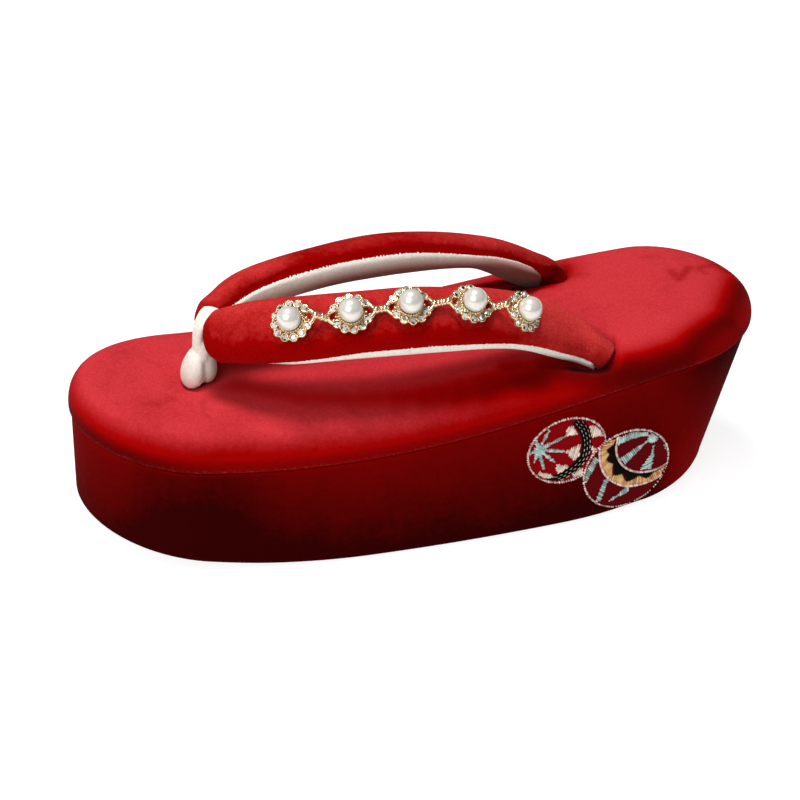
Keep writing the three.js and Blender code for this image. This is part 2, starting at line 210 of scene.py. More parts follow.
# Stones: distance from the flower's middle, height, radius below and above, depth, tones of the facets'
# painted reflections
STONE_RING = 5.5
STONE_TOP = 2.35
STONE_LOW_RADIUS = 1.06
STONE_TOP_RADIUS = 0.6
STONE_DEPTH = 0.5
STONE_REFLECTIONS = (0.0, 0.35, 0.7, 1.0, 1.0, 1.0)
# Cups and collar: lean of a cup, and profiles as radius and height
CUP_LEAN = math.radians(10)
CUP_PROFILE = [(0.0, 0.6), (0.95, 0.6), (1.3, 0.95), (1.42, 1.4), (1.45, 2.15), (1.38, 2.36),
               (1.16, 2.42), (1.06, 2.25), (1.02, 1.8), (0.0, 1.7)]
COLLAR_PROFILE = [(2.6, 0.25), (5.2, 0.25), (5.3, 0.7), (4.5, 0.95), (4.3, 2.3), (3.85, 2.4), (2.6, 0.6)]
COLLAR_BEADS = 28
# Beads: distance from the flower's middle, height and radius
COLLAR_BEAD = (4.05, 2.45, 0.43)
PRONG_BEAD = (6.15, 2.2, 0.54)
EYE_BEAD = (8.3, 1.5, 1.4)
EYE_SEED = (5.0, 1.2, 0.5)
# Half of an eye, from the collar to its bead: places out, aside and up, and the wire's radius
EYE_ARM = [(4.9, 2.9, 1.4), (6.4, 2.2, 1.6), (7.5, 1.0, 1.6), (8.3, 0.0, 1.5)]
EYE_WIRE = 0.7
# Links: radius of the jump ring and of its wire, shares of the link where beads sit, their radius
LINK_RING = 1.0
LINK_WIRE = 0.42
LINK_PLACES = (0.3, 0.7)
LINK_BEAD = 1.2
# The end flowers tip outwards with the strap's curve, in degrees
FLOWER_TIP = [15, 4, 0, -6, -19]
# Steps round the chain's small forms, and from pole to pole where a form is a ball
BEAD_STEPS = (9, 6)
CUP_STEPS = 16
COLLAR_STEPS = 40
RING_STEPS = 14
STONE_STEPS = 8
PEARL_STEPS = (48, 32)
# Each stone is turned at random, by up to about a full turn in radians
STONE_TURN = 6.3


def smooth(rows, position):
    """A smooth value through evenly stepped rows, where position counts in rows."""
    last = len(rows) - 1
    index = min(max(int(math.floor(position)), 0), last - 1)
    part = min(max(position, 0.0), float(last)) - index
    here = rows[index]
    after = rows[index + 1]
    before = rows[index - 1] if index > 0 else 2 * here - after
    later = rows[index + 2] if index < last - 1 else 2 * after - here
    bend = 2 * before - 5 * here + 4 * after - later
    twist = 3 * (here - after) + later - before
    return here + 0.5 * part * (after - before + part * (bend + part * twist))


def sole_value(rows, x):
    return smooth(rows, (x - SOLE_X[0]) / (SOLE_X[1] - SOLE_X[0]))


def ease(value, start, end):
    """0 before start, 1 after end, and a smooth rise between them."""
    share = min(max((value - start) / (end - start), 0.0), 1.0)
    return share * share * (3 - 2 * share)


def piece(name, bm, material, flat=False):
    """Turns a bmesh into a piece that moves with the shoe."""
    bmesh.ops.recalc_face_normals(bm, faces=bm.faces)
    mesh = bpy.data.meshes.new(name)
    bm.to_mesh(mesh)
    bm.free()
    if not flat:
        mesh.shade_smooth()
    mesh.materials.append(material)
    made = bpy.data.objects.new(name, mesh)
    scene.collection.objects.link(made)
    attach(made, "root")
    return made


def patch(bm, rows, columns, place):
    """Adds a sheet of quads to bm, where place(s, t) gives each point in millimetres."""
    made = bmesh.ops.create_grid(bm, x_segments=rows, y_segments=columns, size=1.0)
    for vert in made["verts"]:
        s = (vert.co.x + 1) / 2
        t = (vert.co.y + 1) / 2
        vert.co = Vector(place(s, t)) * MM


def merge(bm):
    bmesh.ops.remove_doubles(bm, verts=bm.verts, dist=1e-6)


def paint(made, mark, tone):
    """Stores a tone at each point of a piece, for its material."""
    layer = made.data.attributes.new(mark, "FLOAT", "POINT")
    for vert in made.data.vertices:
        layer.data[vert.index].value = tone(vert.co / MM)


def colour(code):
    """An sRGB hex code as the linear colour that a shader takes."""
    parts = [int(code[start:start + 2], 16) / 255 for start in (1, 3, 5)]
    return [c / 12.92 if c <= 0.04045 else ((c + 0.055) / 1.055) ** 2.4 for c in parts] + [1.0]


def add(tree, kind, settings, out=0):
    """Adds a node and gives one of its outputs. Settings name its sockets and properties: an output
    of another node is linked, and any other value is set."""
    made = tree.nodes.new(kind)
    for name, value in settings.items():
        if isinstance(value, bpy.types.NodeSocket):
            tree.links.new(value, made.inputs[name])
        elif isinstance(name, int) or name in made.inputs:
            made.inputs[name].default_value = value
        else:
            setattr(made, name, value)
    return made.outputs[out]


def material(name, settings):
    """A named material with one principled shader, and its tree and shader."""
    made = bpy.data.materials.new(name)
    made.use_nodes = True
    tree = made.node_tree
    shader = tree.nodes["Principled BSDF"]
    for socket, value in settings.items():
        shader.inputs[socket].default_value = value
    return made, tree, shader


def mottle(tree, size, detail=2.0, roughness=0.6, span=(0.3, 0.7), reach=(0.0, 1.0)):
    """An uneven tone with features of a size in millimetres, on the piece's own coordinates. The
    span of its noise is spread over the reach."""
    grain = add(tree, "ShaderNodeTexNoise", {
        "Vector": add(tree, "ShaderNodeTexCoord", {}, "Object"),
        "Scale": 1 / (size * MM),
        "Detail": detail,
        "Roughness": roughness,
    })
    return add(tree, "ShaderNodeMapRange", {
        "Value": grain,
        "From Min": span[0],
        "From Max": span[1],
        "To Min": reach[0],
        "To Max": reach[1],
    })


def marked(tree, mark, size, spread):
    """A tone that is stored on the piece, made uneven by a spread each way."""
    stored = add(tree, "ShaderNodeAttribute", {"attribute_name": mark}, "Fac")
    uneven = mottle(tree, size, reach=(-spread, spread))
    return add(tree, "ShaderNodeMath", {"operation": "ADD", "use_clamp": True, 0: stored, 1: uneven})


def layered(tree, shader, ground, coats):
    """Colours a shader with a ground and coats over it, each by its own share."""
    base = colour(ground)
    for share, code in coats:
        settings = {"data_type": "RGBA", "Factor": share, 6: base, 7: colour(code)}
        base = add(tree, "ShaderNodeMix", settings, 2)
    tree.links.new(base, shader.inputs["Base Color"])


def relief(tree, shader, layers):
    """Raises a surface in layers of size, detail, roughness, strength and depth in millimetres."""
    settings = {}
    for size, detail, roughness, strength, depth in layers:
        settings["Height"] = mottle(tree, size, detail, roughness, span=(0.0, 1.0))
        settings["Strength"] = strength
        settings["Distance"] = depth * MM
        settings["Normal"] = add(tree, "ShaderNodeBump", settings)
    tree.links.new(settings["Normal"], shader.inputs["Normal"])


# The direction of the painted light on the velvet, in the shoe's own axes, and the pile's colours
# under painted shade and under the deepest painted shade, which also colours the dark hollows
PAINTED_LIGHT_DIRECTION = (0.16, -0.06, 0.98)
SHADED_PILE = "#A20000"
DEEP_SHADE_PILE = "#3C0000"
# Velvet's unevenness in millimetres: clouds, short streaks, hollows between tufts, fluff at a seam,
# and specks, drawn coarser than single pile ends, which are too fine to show
CLOUD_SIZE = 16
STREAK_SIZE = 2.2
HOLLOW_SIZE = 0.7
FLUFF_SIZE = 0.6
SPECK_SIZE = 0.45
PILE_RELIEF = [(5, 2.0, 0.6, 0.35, 0.5), (0.45, 2.0, 0.7, 0.5, 0.22)]


def velvet(name, side, top, pink, turn, crush, speck, sheen):
    """Cut-pile velvet, matt, with painted light: deep red where the surface faces away from the painted
    light's direction and paler where it faces it. Cloudy where the pile was brushed over, with fine
    pale specks where the painted light falls, and dark hollows. A stored tone of nap marks and painted
    shading shifts the painted light, and a stored painted shade darkens the pile to plain, then deep
    red. Turn is how far the surface faces the painted light where it starts to be lit and where it is
    fully lit. Crush, speck and sheen are amounts."""
    made, tree, shader = material(name, {
        "Roughness": 0.95,
        "Specular IOR Level": 0.02,
        "Sheen Weight": sheen,
        "Sheen Roughness": 0.5,
        "Sheen Tint": colour(pink),
    })
    # Stored tones: nap marks and painted shading, fluff at a seam, and painted shadow and shade
    nap_and_painted_shading = add(tree, "ShaderNodeAttribute", {"attribute_name": "nap_and_painted_shading"}, "Fac")
    worn = add(tree, "ShaderNodeAttribute", {"attribute_name": "worn"}, "Fac")
    shaded = add(tree, "ShaderNodeAttribute", {"attribute_name": "shaded"}, "Fac")
    # Painted light: the colour follows how far the surface faces the painted light's direction
    facing = add(tree, "ShaderNodeTexCoord", {}, "Normal")
    upward = add(tree, "ShaderNodeVectorMath", {
        "operation": "DOT_PRODUCT", 0: facing, 1: PAINTED_LIGHT_DIRECTION}, "Value")
    lit = add(tree, "ShaderNodeMapRange", {"Value": upward, "From Min": turn[0], "From Max": turn[1]})
    cloud = mottle(tree, CLOUD_SIZE, 3.0, reach=(-crush, crush))
    streak = mottle(tree, STREAK_SIZE, 3.0, 0.7, reach=(-0.9 * crush, 0.9 * crush))
    lit = add(tree, "ShaderNodeMath", {"operation": "ADD", 0: lit, 1: cloud})
    lit = add(tree, "ShaderNodeMath", {"operation": "ADD", 0: lit, 1: streak})
    lit = add(tree, "ShaderNodeMath", {"operation": "SUBTRACT", "use_clamp": True, 0: lit, 1: nap_and_painted_shading})
    specks = mottle(tree, SPECK_SIZE, 1.0, span=(0.52, 0.7), reach=(0.0, speck))
    fluff = mottle(tree, FLUFF_SIZE, span=(0.56, 0.7))
    layered(tree, shader, side, [
        (lit, top),
        (add(tree, "ShaderNodeMath", {"operation": "MULTIPLY", 0: specks, 1: lit}), pink),
        # Painted shade stored on the piece: first plain red, then deep red
        (add(tree, "ShaderNodeMapRange", {"Value": shaded, "From Max": 1.0}), SHADED_PILE),
        (add(tree, "ShaderNodeMapRange", {"Value": shaded, "From Min": 1.0, "From Max": 2.0}), DEEP_SHADE_PILE),
        (mottle(tree, HOLLOW_SIZE, 3.0, 0.7, (0.42, 0.66), (0.0, 1.4 * speck)), DEEP_SHADE_PILE),
        (add(tree, "ShaderNodeMath", {"operation": "MULTIPLY", 0: fluff, 1: worn}), pink),
    ])
    relief(tree, shader, PILE_RELIEF)
    return made


NAP_SIZE = 0.4


def flannel(name):
    """Brushed cotton: soft, matt and slightly uneven, with a short woolly nap, and a painted brown shade
    where a stored tone marks it.
    """
    made, tree, shader = material(name, {
        "Roughness": 0.9,
        "Specular IOR Level": 0.1,
        "Sheen Weight": 0.1,
        "Sheen Roughness": 0.5,
        "Sheen Tint": colour("#FFF8F0"),
    })
    layered(tree, shader, "#EFE9DA", [
        (mottle(tree, NAP_SIZE * 3, 3.0, 0.7), "#FDFBF3"),
        (mottle(tree, NAP_SIZE, 1.0, span=(0.45, 0.68), reach=(0.0, 0.26)), "#C2B29C"),
        # Painted shade: brown where the stored tone marks the cloth
        (add(tree, "ShaderNodeAttribute", {"attribute_name": "nap_and_painted_shading"}, "Fac"), "#6A3626"),
    ])
    relief(tree, shader, [(NAP_SIZE, 3.0, 0.7, 0.6, 0.3)])
    return made


def gloss(name, base, shade, size, depth, settings):
    """A hard finish with a faint unevenness in its colour and its surface."""
    made, tree, shader = material(name, settings)
    layered(tree, shader, shade, [(mottle(tree, size, span=(0.0, 1.0)), base)])
    relief(tree, shader, [(size, 2.0, 0.6, 0.3, depth)])
    return made


def floss(name, base, shade):
    """Rayon floss: matt strands with a soft silky look, each a little lighter or darker."""
    made, tree, shader = material(name, {"Roughness": 0.7, "Specular IOR Level": 0.03})
    layered(tree, shader, shade, [(marked(tree, "tone", 0.8, 0.25), base)])
    relief(tree, shader, [(0.4, 2.0, 0.6, 0.3, 0.06)])
    return made


def cut_glass(name):
    """Foil-backed cut glass with painted reflections: each facet's stored tone paints it white or dark,
    as if it mirrored another part of the room, so white and dark facets lie side by side. The tones
    are stored on the faces."""
    made, tree, shader = material(name, {
        "Metallic": 0.4, "Roughness": 0.05, "Coat Weight": 1.0, "Coat Roughness": 0.02})
    layered(tree, shader, "#2A2826", [(marked(tree, "facet_reflection", 0.5, 0.1), "#FBFBFA")])
    return made


# Velvet of the pad, the wall and the straps: the same pile, with the pad's copy lit, the wall's copy
# darkened for painted shade, and the straps' copy clipped shorter
pad_velvet = velvet("cotton_velvet_pad", "#940000", "#C83238", "#E8747C", (0.4, 0.99), 0.14, 0.12, 0.06)
wall_velvet = velvet("cotton_velvet_wall", "#320000", "#840000", "#901410", (-0.75, 0.25), 0.07, 0.07, 0.0)
strap_velvet = velvet(
    "short_nap_velvet_strap", "#960000", "#D83A38", "#E67E7A", (0.1, 0.98), 0.14, 0.18, 0.04)
# Lining and toe post
cream_cloth = flannel("brushed_cream_flannel")
# Gilt castings shine warm and pale, with a slightly soft cast surface
gilt = gloss("gilt_cast_brass", "#FFEFD0", "#CFA468", 0.8, 0.03, {"Metallic": 0.8, "Roughness": 0.2})
# Imitation pearl: a lacquered bead, milky white with a soft broad highlight
pearl = gloss("pearl_lacquered_bead", "#F2EEE4", "#E6E2D8", 2.5, 0.01, {
    "Metallic": 0.3, "Roughness": 0.26, "Coat Weight": 0.5, "Coat Roughness": 0.15})
crystal = cut_glass("foil_backed_cut_glass")
# Light and dark of each floss in the embroidery
FLOSS_TONES = {
    "pale_teal": ("#CFE6E0", "#7E9C97"),
    "cream": ("#FCF2E6", "#CDB8A2"),
    "gold": ("#F0C588", "#B4834A"),
    "black": ("#110E0C", "#060505"),
    "pale_pink": ("#FCE8E0", "#C08C84"),
    "red": ("#98000A", "#840006"),
    "dark_red": ("#70000A", "#5C0006"),
}
flosses = {name: floss(f"satin_stitched_{name}_rayon", *tones) for name, tones in FLOSS_TONES.items()}


def seam_outline(end_steps, side_steps):
    """Plan outline of the seam with outward directions, from the toe round the outer side."""
    left = []
    toe_start = HALF_LENGTH - TOE_REACH
    heel_start = -HALF_LENGTH + HEEL_REACH
    for step in range(end_steps):
        angle = step / end_steps * math.pi / 2
        x = toe_start + TOE_REACH * math.cos(angle)
        left.append((x, math.sin(angle) * sole_value(HALF_WIDTH, x)))
    for step in range(side_steps + 1):
        x = toe_start + (heel_start - toe_start) * step / side_steps
        left.append((x, sole_value(HALF_WIDTH, x)))
    for step in range(end_steps - 1, -1, -1):
        angle = step / end_steps * math.pi / 2
        x = heel_start - HEEL_REACH * math.cos(angle) ** (2 / HEEL_POWER)
        left.append((x, math.sin(angle) ** (2 / HEEL_POWER) * sole_value(HALF_WIDTH, x)))
    points = left + [(x, -y) for x, y in reversed(left[1:-1])]
    outline = []
    for index, (x, y) in enumerate(points):
        after = points[(index + 1) % len(points)]
        before = points[index - 1]
        along = Vector((after[0] - before[0], after[1] - before[1])).normalized()
        outline.append((x, y, along.y, -along.x))
    return outline


OUTLINE = seam_outline(END_STEPS, SIDE_STEPS)
ROUND = len(OUTLINE)
HALF = ROUND // 2


def outline_between(place):
    """A point of the outline with its outward direction, where place counts in points."""
    low = int(math.floor(place))
    part = place - low
    here = OUTLINE[low % ROUND]
    after = OUTLINE[(low + 1) % ROUND]
    return [a + (b - a) * part for a, b in zip(here, after)]


def heel_share(x):
    return 1 - ease(x, *HEEL_SPAN)


def bottom_height(x):
    height = 0.0
    for start, end, rise in (TOE_SPRING, HEEL_SPRING):
        height += rise * max((x - start) / (end - start), 0.0) ** 2
    return height


def wall_plan(point, drop, extra):
    """A point of the side wall in plan, where drop runs from 0 at the seam to 1 at the bottom."""
    x, y, out_x, out_y = point
    toe = ease(x, *TOE_SPAN)
    inset = WALL_TUCK + (SIDE_DRAFT + (TOE_DRAFT - SIDE_DRAFT) * toe) * drop + extra
    return x - out_x * inset + HEEL_UNDERCUT * drop * heel_share(x), y - out_y * inset


def edge_radius(x):
    return EDGE_RADIUS + (HEEL_EDGE_RADIUS - EDGE_RADIUS) * heel_share(x)


def wall_point(s, t):
    row = int(round(s * (WALL_COUNT - 1)))
    point = outline_between(round(t * ROUND))
    seam = sole_value(SEAM, point[0])
    foot = bottom_height(wall_plan(point, 1, 0)[0]) + edge_radius(point[0])
    if row < len(GROOVE_ROWS):
        down, inset = GROOVE_ROWS[row]
        x, y = wall_plan(point, down / (seam - foot), inset)
        return x, y, seam - down
    row -= len(GROOVE_ROWS)
    if row < len(WALL_ROWS):
        drop = WALL_ROWS[row]
        x, y = wall_plan(point, drop, 0)
        return x, y, seam + (foot - seam) * drop
    turn = math.radians(EDGE_TURNS[row - len(WALL_ROWS)])
    radius = edge_radius(point[0])
    x, y = wall_plan(point, 1, radius * (1 - math.cos(turn)))
    return x, y, bottom_height(x) + radius * (1 - math.sin(turn))


def across_wall(level, s, t):
    """A point between the outer and the inner wall, at the wall's top (0) or bottom (1) row."""
    index = int(round(s * HALF))
    outer = wall_point(level, index / ROUND)
    inner = wall_point(level, (ROUND - index) % ROUND / ROUND)
    return [a + (b - a) * t for a, b in zip(outer, inner)]


def bottom_point(s, t):
    return across_wall(1, s, t)


def lid_point(s, t):
    return across_wall(0, s, t)


# Fluff at the seam: its strength, and distances from the seam where it starts and stops fading
SEAM_FLUFF = 0.17
FLUFF_FADE = (0.3, 2.2)
BOTTOM_ROWS = 8
LID_ROWS = 4


def near_seam(point):
    """Fluff along the seam, fading out within a few millimetres of it."""
    return SEAM_FLUFF * (1 - ease(abs(point.z - sole_value(SEAM, point.x)), *FLUFF_FADE))


# Painted shade on the wall: how much darker it gets down the side, how dark it is at the heel's seam,
# how that fades downwards and where the heel begins, and how dark it is round the toe, with place and width
SIDE_DARK = 0.8
HEEL_DARK = 0.5
HEEL_FADE = 1.25
HEEL_TURN = (-92, -70)
TOE_DARK = 0.5
TOE_MIDDLE = 86
TOE_WIDTH = 28


def wall_tone(point):
    """Painted shade on the wall: darker towards the floor, at the heel darker towards the seam and
    lighter low down, and darker round the toe.
    """
    drop = 1 - point.z / sole_value(SEAM, point.x)
    heel = 1 - ease(point.x, *HEEL_TURN)
    toe = TOE_DARK * math.exp(-((point.x - TOE_MIDDLE) / TOE_WIDTH) ** 2)
    return SIDE_DARK * drop * (1 - heel) + (HEEL_DARK - HEEL_FADE * drop) * heel + toe


bm = bmesh.new()
patch(bm, WALL_COUNT - 1, ROUND, wall_point)
patch(bm, HALF, BOTTOM_ROWS, bottom_point)
patch(bm, HALF, LID_ROWS, lid_point)
merge(bm)
sole = piece("velvet_sole", bm, wall_velvet)
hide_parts("sole_body")
paint(sole, "worn", near_seam)
# Painted shade on the wall, stored for its material
paint(sole, "nap_and_painted_shading", wall_tone)


def strap_centre(share):
    return smooth(STRAP, share * (len(STRAP) - 1))


def strap_axes(share):
    """Directions along the strap, out of its face and across it."""
    before = strap_centre(max(share - 1e-3, 0))
    after = strap_centre(min(share + 1e-3, 1))
    along = Vector(after[:3] - before[:3]).normalized()
    lean = math.radians(strap_centre(share)[5])
    out = Vector((along.y, -along.x, 0)).normalized()
    out *= math.copysign(math.cos(lean), out.y)
    face = Vector((out.x, out.y, math.sin(lean)))
    face = (face - along * face.dot(along)).normalized()
    return along, face, along.cross(face)


def bowed(value):
    return math.copysign(abs(value) ** (2 / STRAP_POWER), value)


def crease(share, angle):
    """Depth of the soft creases at a place on the strap."""
    depth = 0.0
    for at, middle, spread, width, deep in STRAP_CREASES:
        turn = math.remainder(angle - math.radians(middle), 2 * math.pi)
        depth += deep * math.exp(-((share - at) / width) ** 2 - (turn / math.radians(spread)) ** 2)
    return depth


PATH_STEPS = 200
STRAP_PATH = [Vector(strap_centre(step / PATH_STEPS)[:3]) for step in range(PATH_STEPS + 1)]
STRAP_LENGTH = sum((b - a).length for a, b in zip(STRAP_PATH, STRAP_PATH[1:]))
STRAP_TOTAL = STRAP_LENGTH + STRAP_CAP + REAR_CAP


def rounded(share):
    """Scale of a section towards a rounded end, where share runs from 0 at the tip to 1."""
    return (1 - (1 - min(max(share, 0.0), 1.0)) ** END_POWER) ** (1 / END_POWER)


def strap_skin(distance, angle, grow):
    """A point on the strap's skin at a distance from its toe end, grown by some clearance."""
    share = min(max((distance - STRAP_CAP) / STRAP_LENGTH, 0.0), 1.0)
    push = distance - STRAP_CAP - share * STRAP_LENGTH
    if push < 0:
        push *= FRONT_PUSH
    scale = rounded(distance / FRONT_ROUND) * rounded((STRAP_TOTAL - distance) / REAR_ROUND)
    row = strap_centre(share)
    along, face, across = strap_axes(share)
    centre = Vector(row[:3]) + along * push
    half_depth, half_width = WAVE_SECTION
    spot = centre + face * math.sin(angle) * half_depth + across * math.cos(angle) * half_width
    grow += noise.noise(spot * WAVE_STEP) * WAVE_HEIGHT - crease(share, angle)
    point = centre + across * ((row[3] + grow) * bowed(math.cos(angle)) * scale)
    deep = row[4] + grow
    if math.sin(angle) < 0:
        start, full, fade, end, amount = BACK_FLAT
        deep *= 1 - amount * ease(share, start, full) * (1 - ease(share, fade, end))
    return point + face * (deep * bowed(math.sin(angle)) * scale)


def strap_row(s):
    """Distance of a row from the toe end, with rows closer together at both ends."""
    return STRAP_TOTAL * (s - END_CROWDING * math.sin(2 * math.pi * s) / (2 * math.pi))


def lining_edges(distance):
    share = (distance - STRAP_CAP) / STRAP_LENGTH
    low = np.interp(share, LINING[:, 0], LINING[:, 1])
    high = np.interp(share, LINING[:, 0], LINING[:, 2])
    return math.radians(low), math.radians(high)


def strap_point(s, t):
    """The strap's velvet, drawn in along both edges of the lining."""
    distance = strap_row(s)
    angle = t * 2 * math.pi
    trough = 0.0
    for edge in lining_edges(distance):
        turn = math.remainder(angle - edge, 2 * math.pi)
        trough = max(trough, math.exp(-(turn / SEAM_SPREAD) ** 2))
    return strap_skin(distance, angle, -SEAM_DEPTH * trough)


def lining_point(s, t):
    """The lining lies on the strap's inner side, its edges tucked in and a little ragged."""
    distance = LINING_START + s * (STRAP_TOTAL - LINING_START - LINING_STOP)
    low, high = lining_edges(distance)
    low += 2 * math.pi
    edge = min(t, 1 - t)
    fray = noise.noise(Vector((s * FRAY_THREADS, 0, 5 * round(t)))) * math.radians(LINING_FRAY)
    angle = high + (low - high) * t + fray * (1 - ease(edge, *FRAY_FADE))
    end = ease(min(s, 1 - s), 0, END_FADE)
    stand = (LINING_TUCK + LINING_STAND) * ease(edge, 0, TUCK_FADE) * end - LINING_TUCK
    return strap_skin(distance, angle, stand)


def mirrored(bm):
    """Adds the inner strap's half: the same shape on the other side of the foot."""
    copy = bmesh.ops.duplicate(bm, geom=bm.verts[:] + bm.edges[:] + bm.faces[:])["geom"]
    verts = [item for item in copy if isinstance(item, bmesh.types.BMVert)]
    bmesh.ops.scale(bm, vec=(1, -1, 1), verts=verts)


# Where the painted light and shade on the straps change along the shoe
OUTER_REAR = (-5, -46)
INNER_FRONT = (52, 34)
INNER_MIDDLE = (6, -24)
INNER_REAR = (-10, -40)
# How much painted shade lies on the straps, how much painted light at the outer rear end, how much
# more painted shade along the inner strap, the share of that which is lost behind the middle, and how
# much painted light at the inner rear end
STRAP_PAINTED_SHADE = 0.46
OUTER_PAINTED_LIGHT = 0.8
INNER_PAINTED_SHADE = 0.4
INNER_LOSS = 0.8
INNER_PAINTED_LIGHT = 0.3


def strap_tone(point):
    """Painted shade on the straps, more along the inner strap's middle and less towards both rear ends,
    where the outer one gets painted light.
    """
    if point.y > 0:
        return STRAP_PAINTED_SHADE - OUTER_PAINTED_LIGHT * ease(point.x, *OUTER_REAR)
    middle = INNER_PAINTED_SHADE * ease(point.x, *INNER_FRONT) * (1 - INNER_LOSS * ease(point.x, *INNER_MIDDLE))
    return STRAP_PAINTED_SHADE + middle - INNER_PAINTED_LIGHT * ease(point.x, *INNER_REAR)


PATH_X = np.array([spot.x for spot in reversed(STRAP_PATH)])
PATH_Z = np.array([spot.z for spot in reversed(STRAP_PATH)])
# Painted shade on the inner lining: where along the shoe it gets stronger and where the rear part
# begins, and heights above the strap's middle line over which it starts in the middle and in the rear part
LINING_SHADE_FRONT = (55, 25)
LINING_SHADE_REAR = (-24, -42)
LINING_SHADE_MIDDLE_RISE = (6.5, -2.0)
LINING_SHADE_REAR_RISE = (5.4, 1.6)
# How strong it is in front, how much stronger in the middle, and how strong in the rear part
FRONT_LINING_SHADE = 0.5
MIDDLE_LINING_SHADE = 0.45
REAR_LINING_SHADE = 0.95


def lining_tone(point):
    """Painted brown shade on the inner strap's lining low down, most of all along its middle and in its
    rear part.
    """
    if point.y > 0:
        return 0.0
    above = point.z - np.interp(point.x, PATH_X, PATH_Z)
    rear = ease(point.x, *LINING_SHADE_REAR)
    middle = ease(above, *LINING_SHADE_MIDDLE_RISE) * (FRONT_LINING_SHADE + MIDDLE_LINING_SHADE * ease(point.x, *LINING_SHADE_FRONT))
    return middle * (1 - rear) + REAR_LINING_SHADE * ease(above, *LINING_SHADE_REAR_RISE) * rear


bm = bmesh.new()
patch(bm, *STRAP_GRID, strap_point)
merge(bm)
mirrored(bm)
straps = piece("velvet_straps", bm, strap_velvet)
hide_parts("straps")
# Painted light and shade on the straps, stored for their material
paint(straps, "nap_and_painted_shading", strap_tone)

bm = bmesh.new()
patch(bm, *LINING_GRID, lining_point)
mirrored(bm)
lining = piece("strap_lining", bm, cream_cloth)
# Painted brown shade on the inner lining, stored for its material
paint(lining, "nap_and_painted_shading", lining_tone)


# The band's rows and columns, the share of its length over which its ends are rounded, and the rows
# and columns of a lobe
BAND_GRID = (90, 28)
BAND_ROUND = 0.03
LOBE_SEGMENTS = 40
LOBE_RINGS = 28
# The skin over the post's forms: size of its grid, rounds of softening
POST_GRID = 0.4
POST_ROUNDS = 3
# The foot's thread: how far outside the post its line is cast from, its radius and how it stands out
THREAD_CAST = 20
THREAD_RADIUS = 0.17
THREAD_STAND = 0.08


def band_point(s, t):
    """The flat band that rises from the foot and folds over the joint of the straps."""
    steps = len(BAND) - 1
    row = smooth(BAND, s * steps)
    before = smooth(BAND, max(s - 1e-3, 0) * steps)
    after = smooth(BAND, min(s + 1e-3, 1) * steps)
    along = Vector(after[:3] - before[:3]).normalized()
    side = Vector((0, 1, 0))
    out = along.cross(side).normalized()
    side = out.cross(along)
    angle = t * 2 * math.pi
    scale = rounded(min(s, 1 - s) / BAND_ROUND)
    point = Vector(row[:3])
    point += side * row[3] * math.cos(angle) * scale
    return point + out * row[4] * math.sin(angle) * scale


def fused(name, bm, voxel, rounds):
    """One closed skin over all the forms in bm, with their joints softened."""
    mesh = bpy.data.meshes.new(name)
    bm.to_mesh(mesh)
    bm.free()
    rough = bpy.data.objects.new(name, mesh)
    scene.collection.objects.link(rough)
    skin = rough.modifiers.new("skin", "REMESH")
    skin.mode = "VOXEL"
    skin.voxel_size = voxel * MM
    depsgraph = bpy.context.evaluated_depsgraph_get()
    shape = bpy.data.meshes.new_from_object(rough.evaluated_get(depsgraph))
    made = bmesh.new()
    made.from_mesh(shape)
    for step in range(rounds):
        bmesh.ops.smooth_vert(made, verts=made.verts, factor=0.5, use_axis_x=True, use_axis_y=True,
                              use_axis_z=True)
    bpy.data.objects.remove(rough)
    bpy.data.meshes.remove(mesh)
    bpy.data.meshes.remove(shape)
    return made


# A rod's sides, and its rows from one point to the next
ROD_SIDES = 8
ROD_ROWS = 3


def rod(bm, points, radius):
    """A thin round rod through points in millimetres, closed at both ends."""
    steps = ROD_ROWS * (len(points) - 1)
    rows = np.array([tuple(point) for point in points])

    def place(s, t):
        spot = smooth(rows, s * (len(rows) - 1))
        after = smooth(rows, min(s + 0.01, 1) * (len(rows) - 1))
        before = smooth(rows, max(s - 0.01, 0) * (len(rows) - 1))
        turn = Vector(after - before).to_track_quat("Z", "X").to_matrix()
        width = 0.0 if min(s, 1 - s) < 1e-6 else radius
        angle = t * 2 * math.pi
        return Vector(spot) + turn @ Vector((math.cos(angle) * width, math.sin(angle) * width, 0))

    patch(bm, steps, ROD_SIDES, place)


# Painted shade on the foot: heights over which it ends, where the rear lobe begins, place and width of the
# fold
FOOT_SHADE_HEIGHTS = (63, 67)
REAR_LOBE = (76.2, 74.6)
FOLD_PLACE = 75.6
FOLD_WIDTH = 0.8
# How strong it is all over the foot, how much stronger on the rear lobe, and in the fold
FOOT_SHADE = 0.08
LOBE_SHADE = 0.32
FOLD_SHADE = 0.3


def post_tone(point):
    """Painted shade low on the foot, stronger on its rear lobe and most of all in the fold before it."""
    low = 1 - ease(point.z, *FOOT_SHADE_HEIGHTS)
    fold = math.exp(-((point.x - FOLD_PLACE) / FOLD_WIDTH) ** 2)
    return low * (FOOT_SHADE + LOBE_SHADE * ease(point.x, *REAR_LOBE) + FOLD_SHADE * fold)


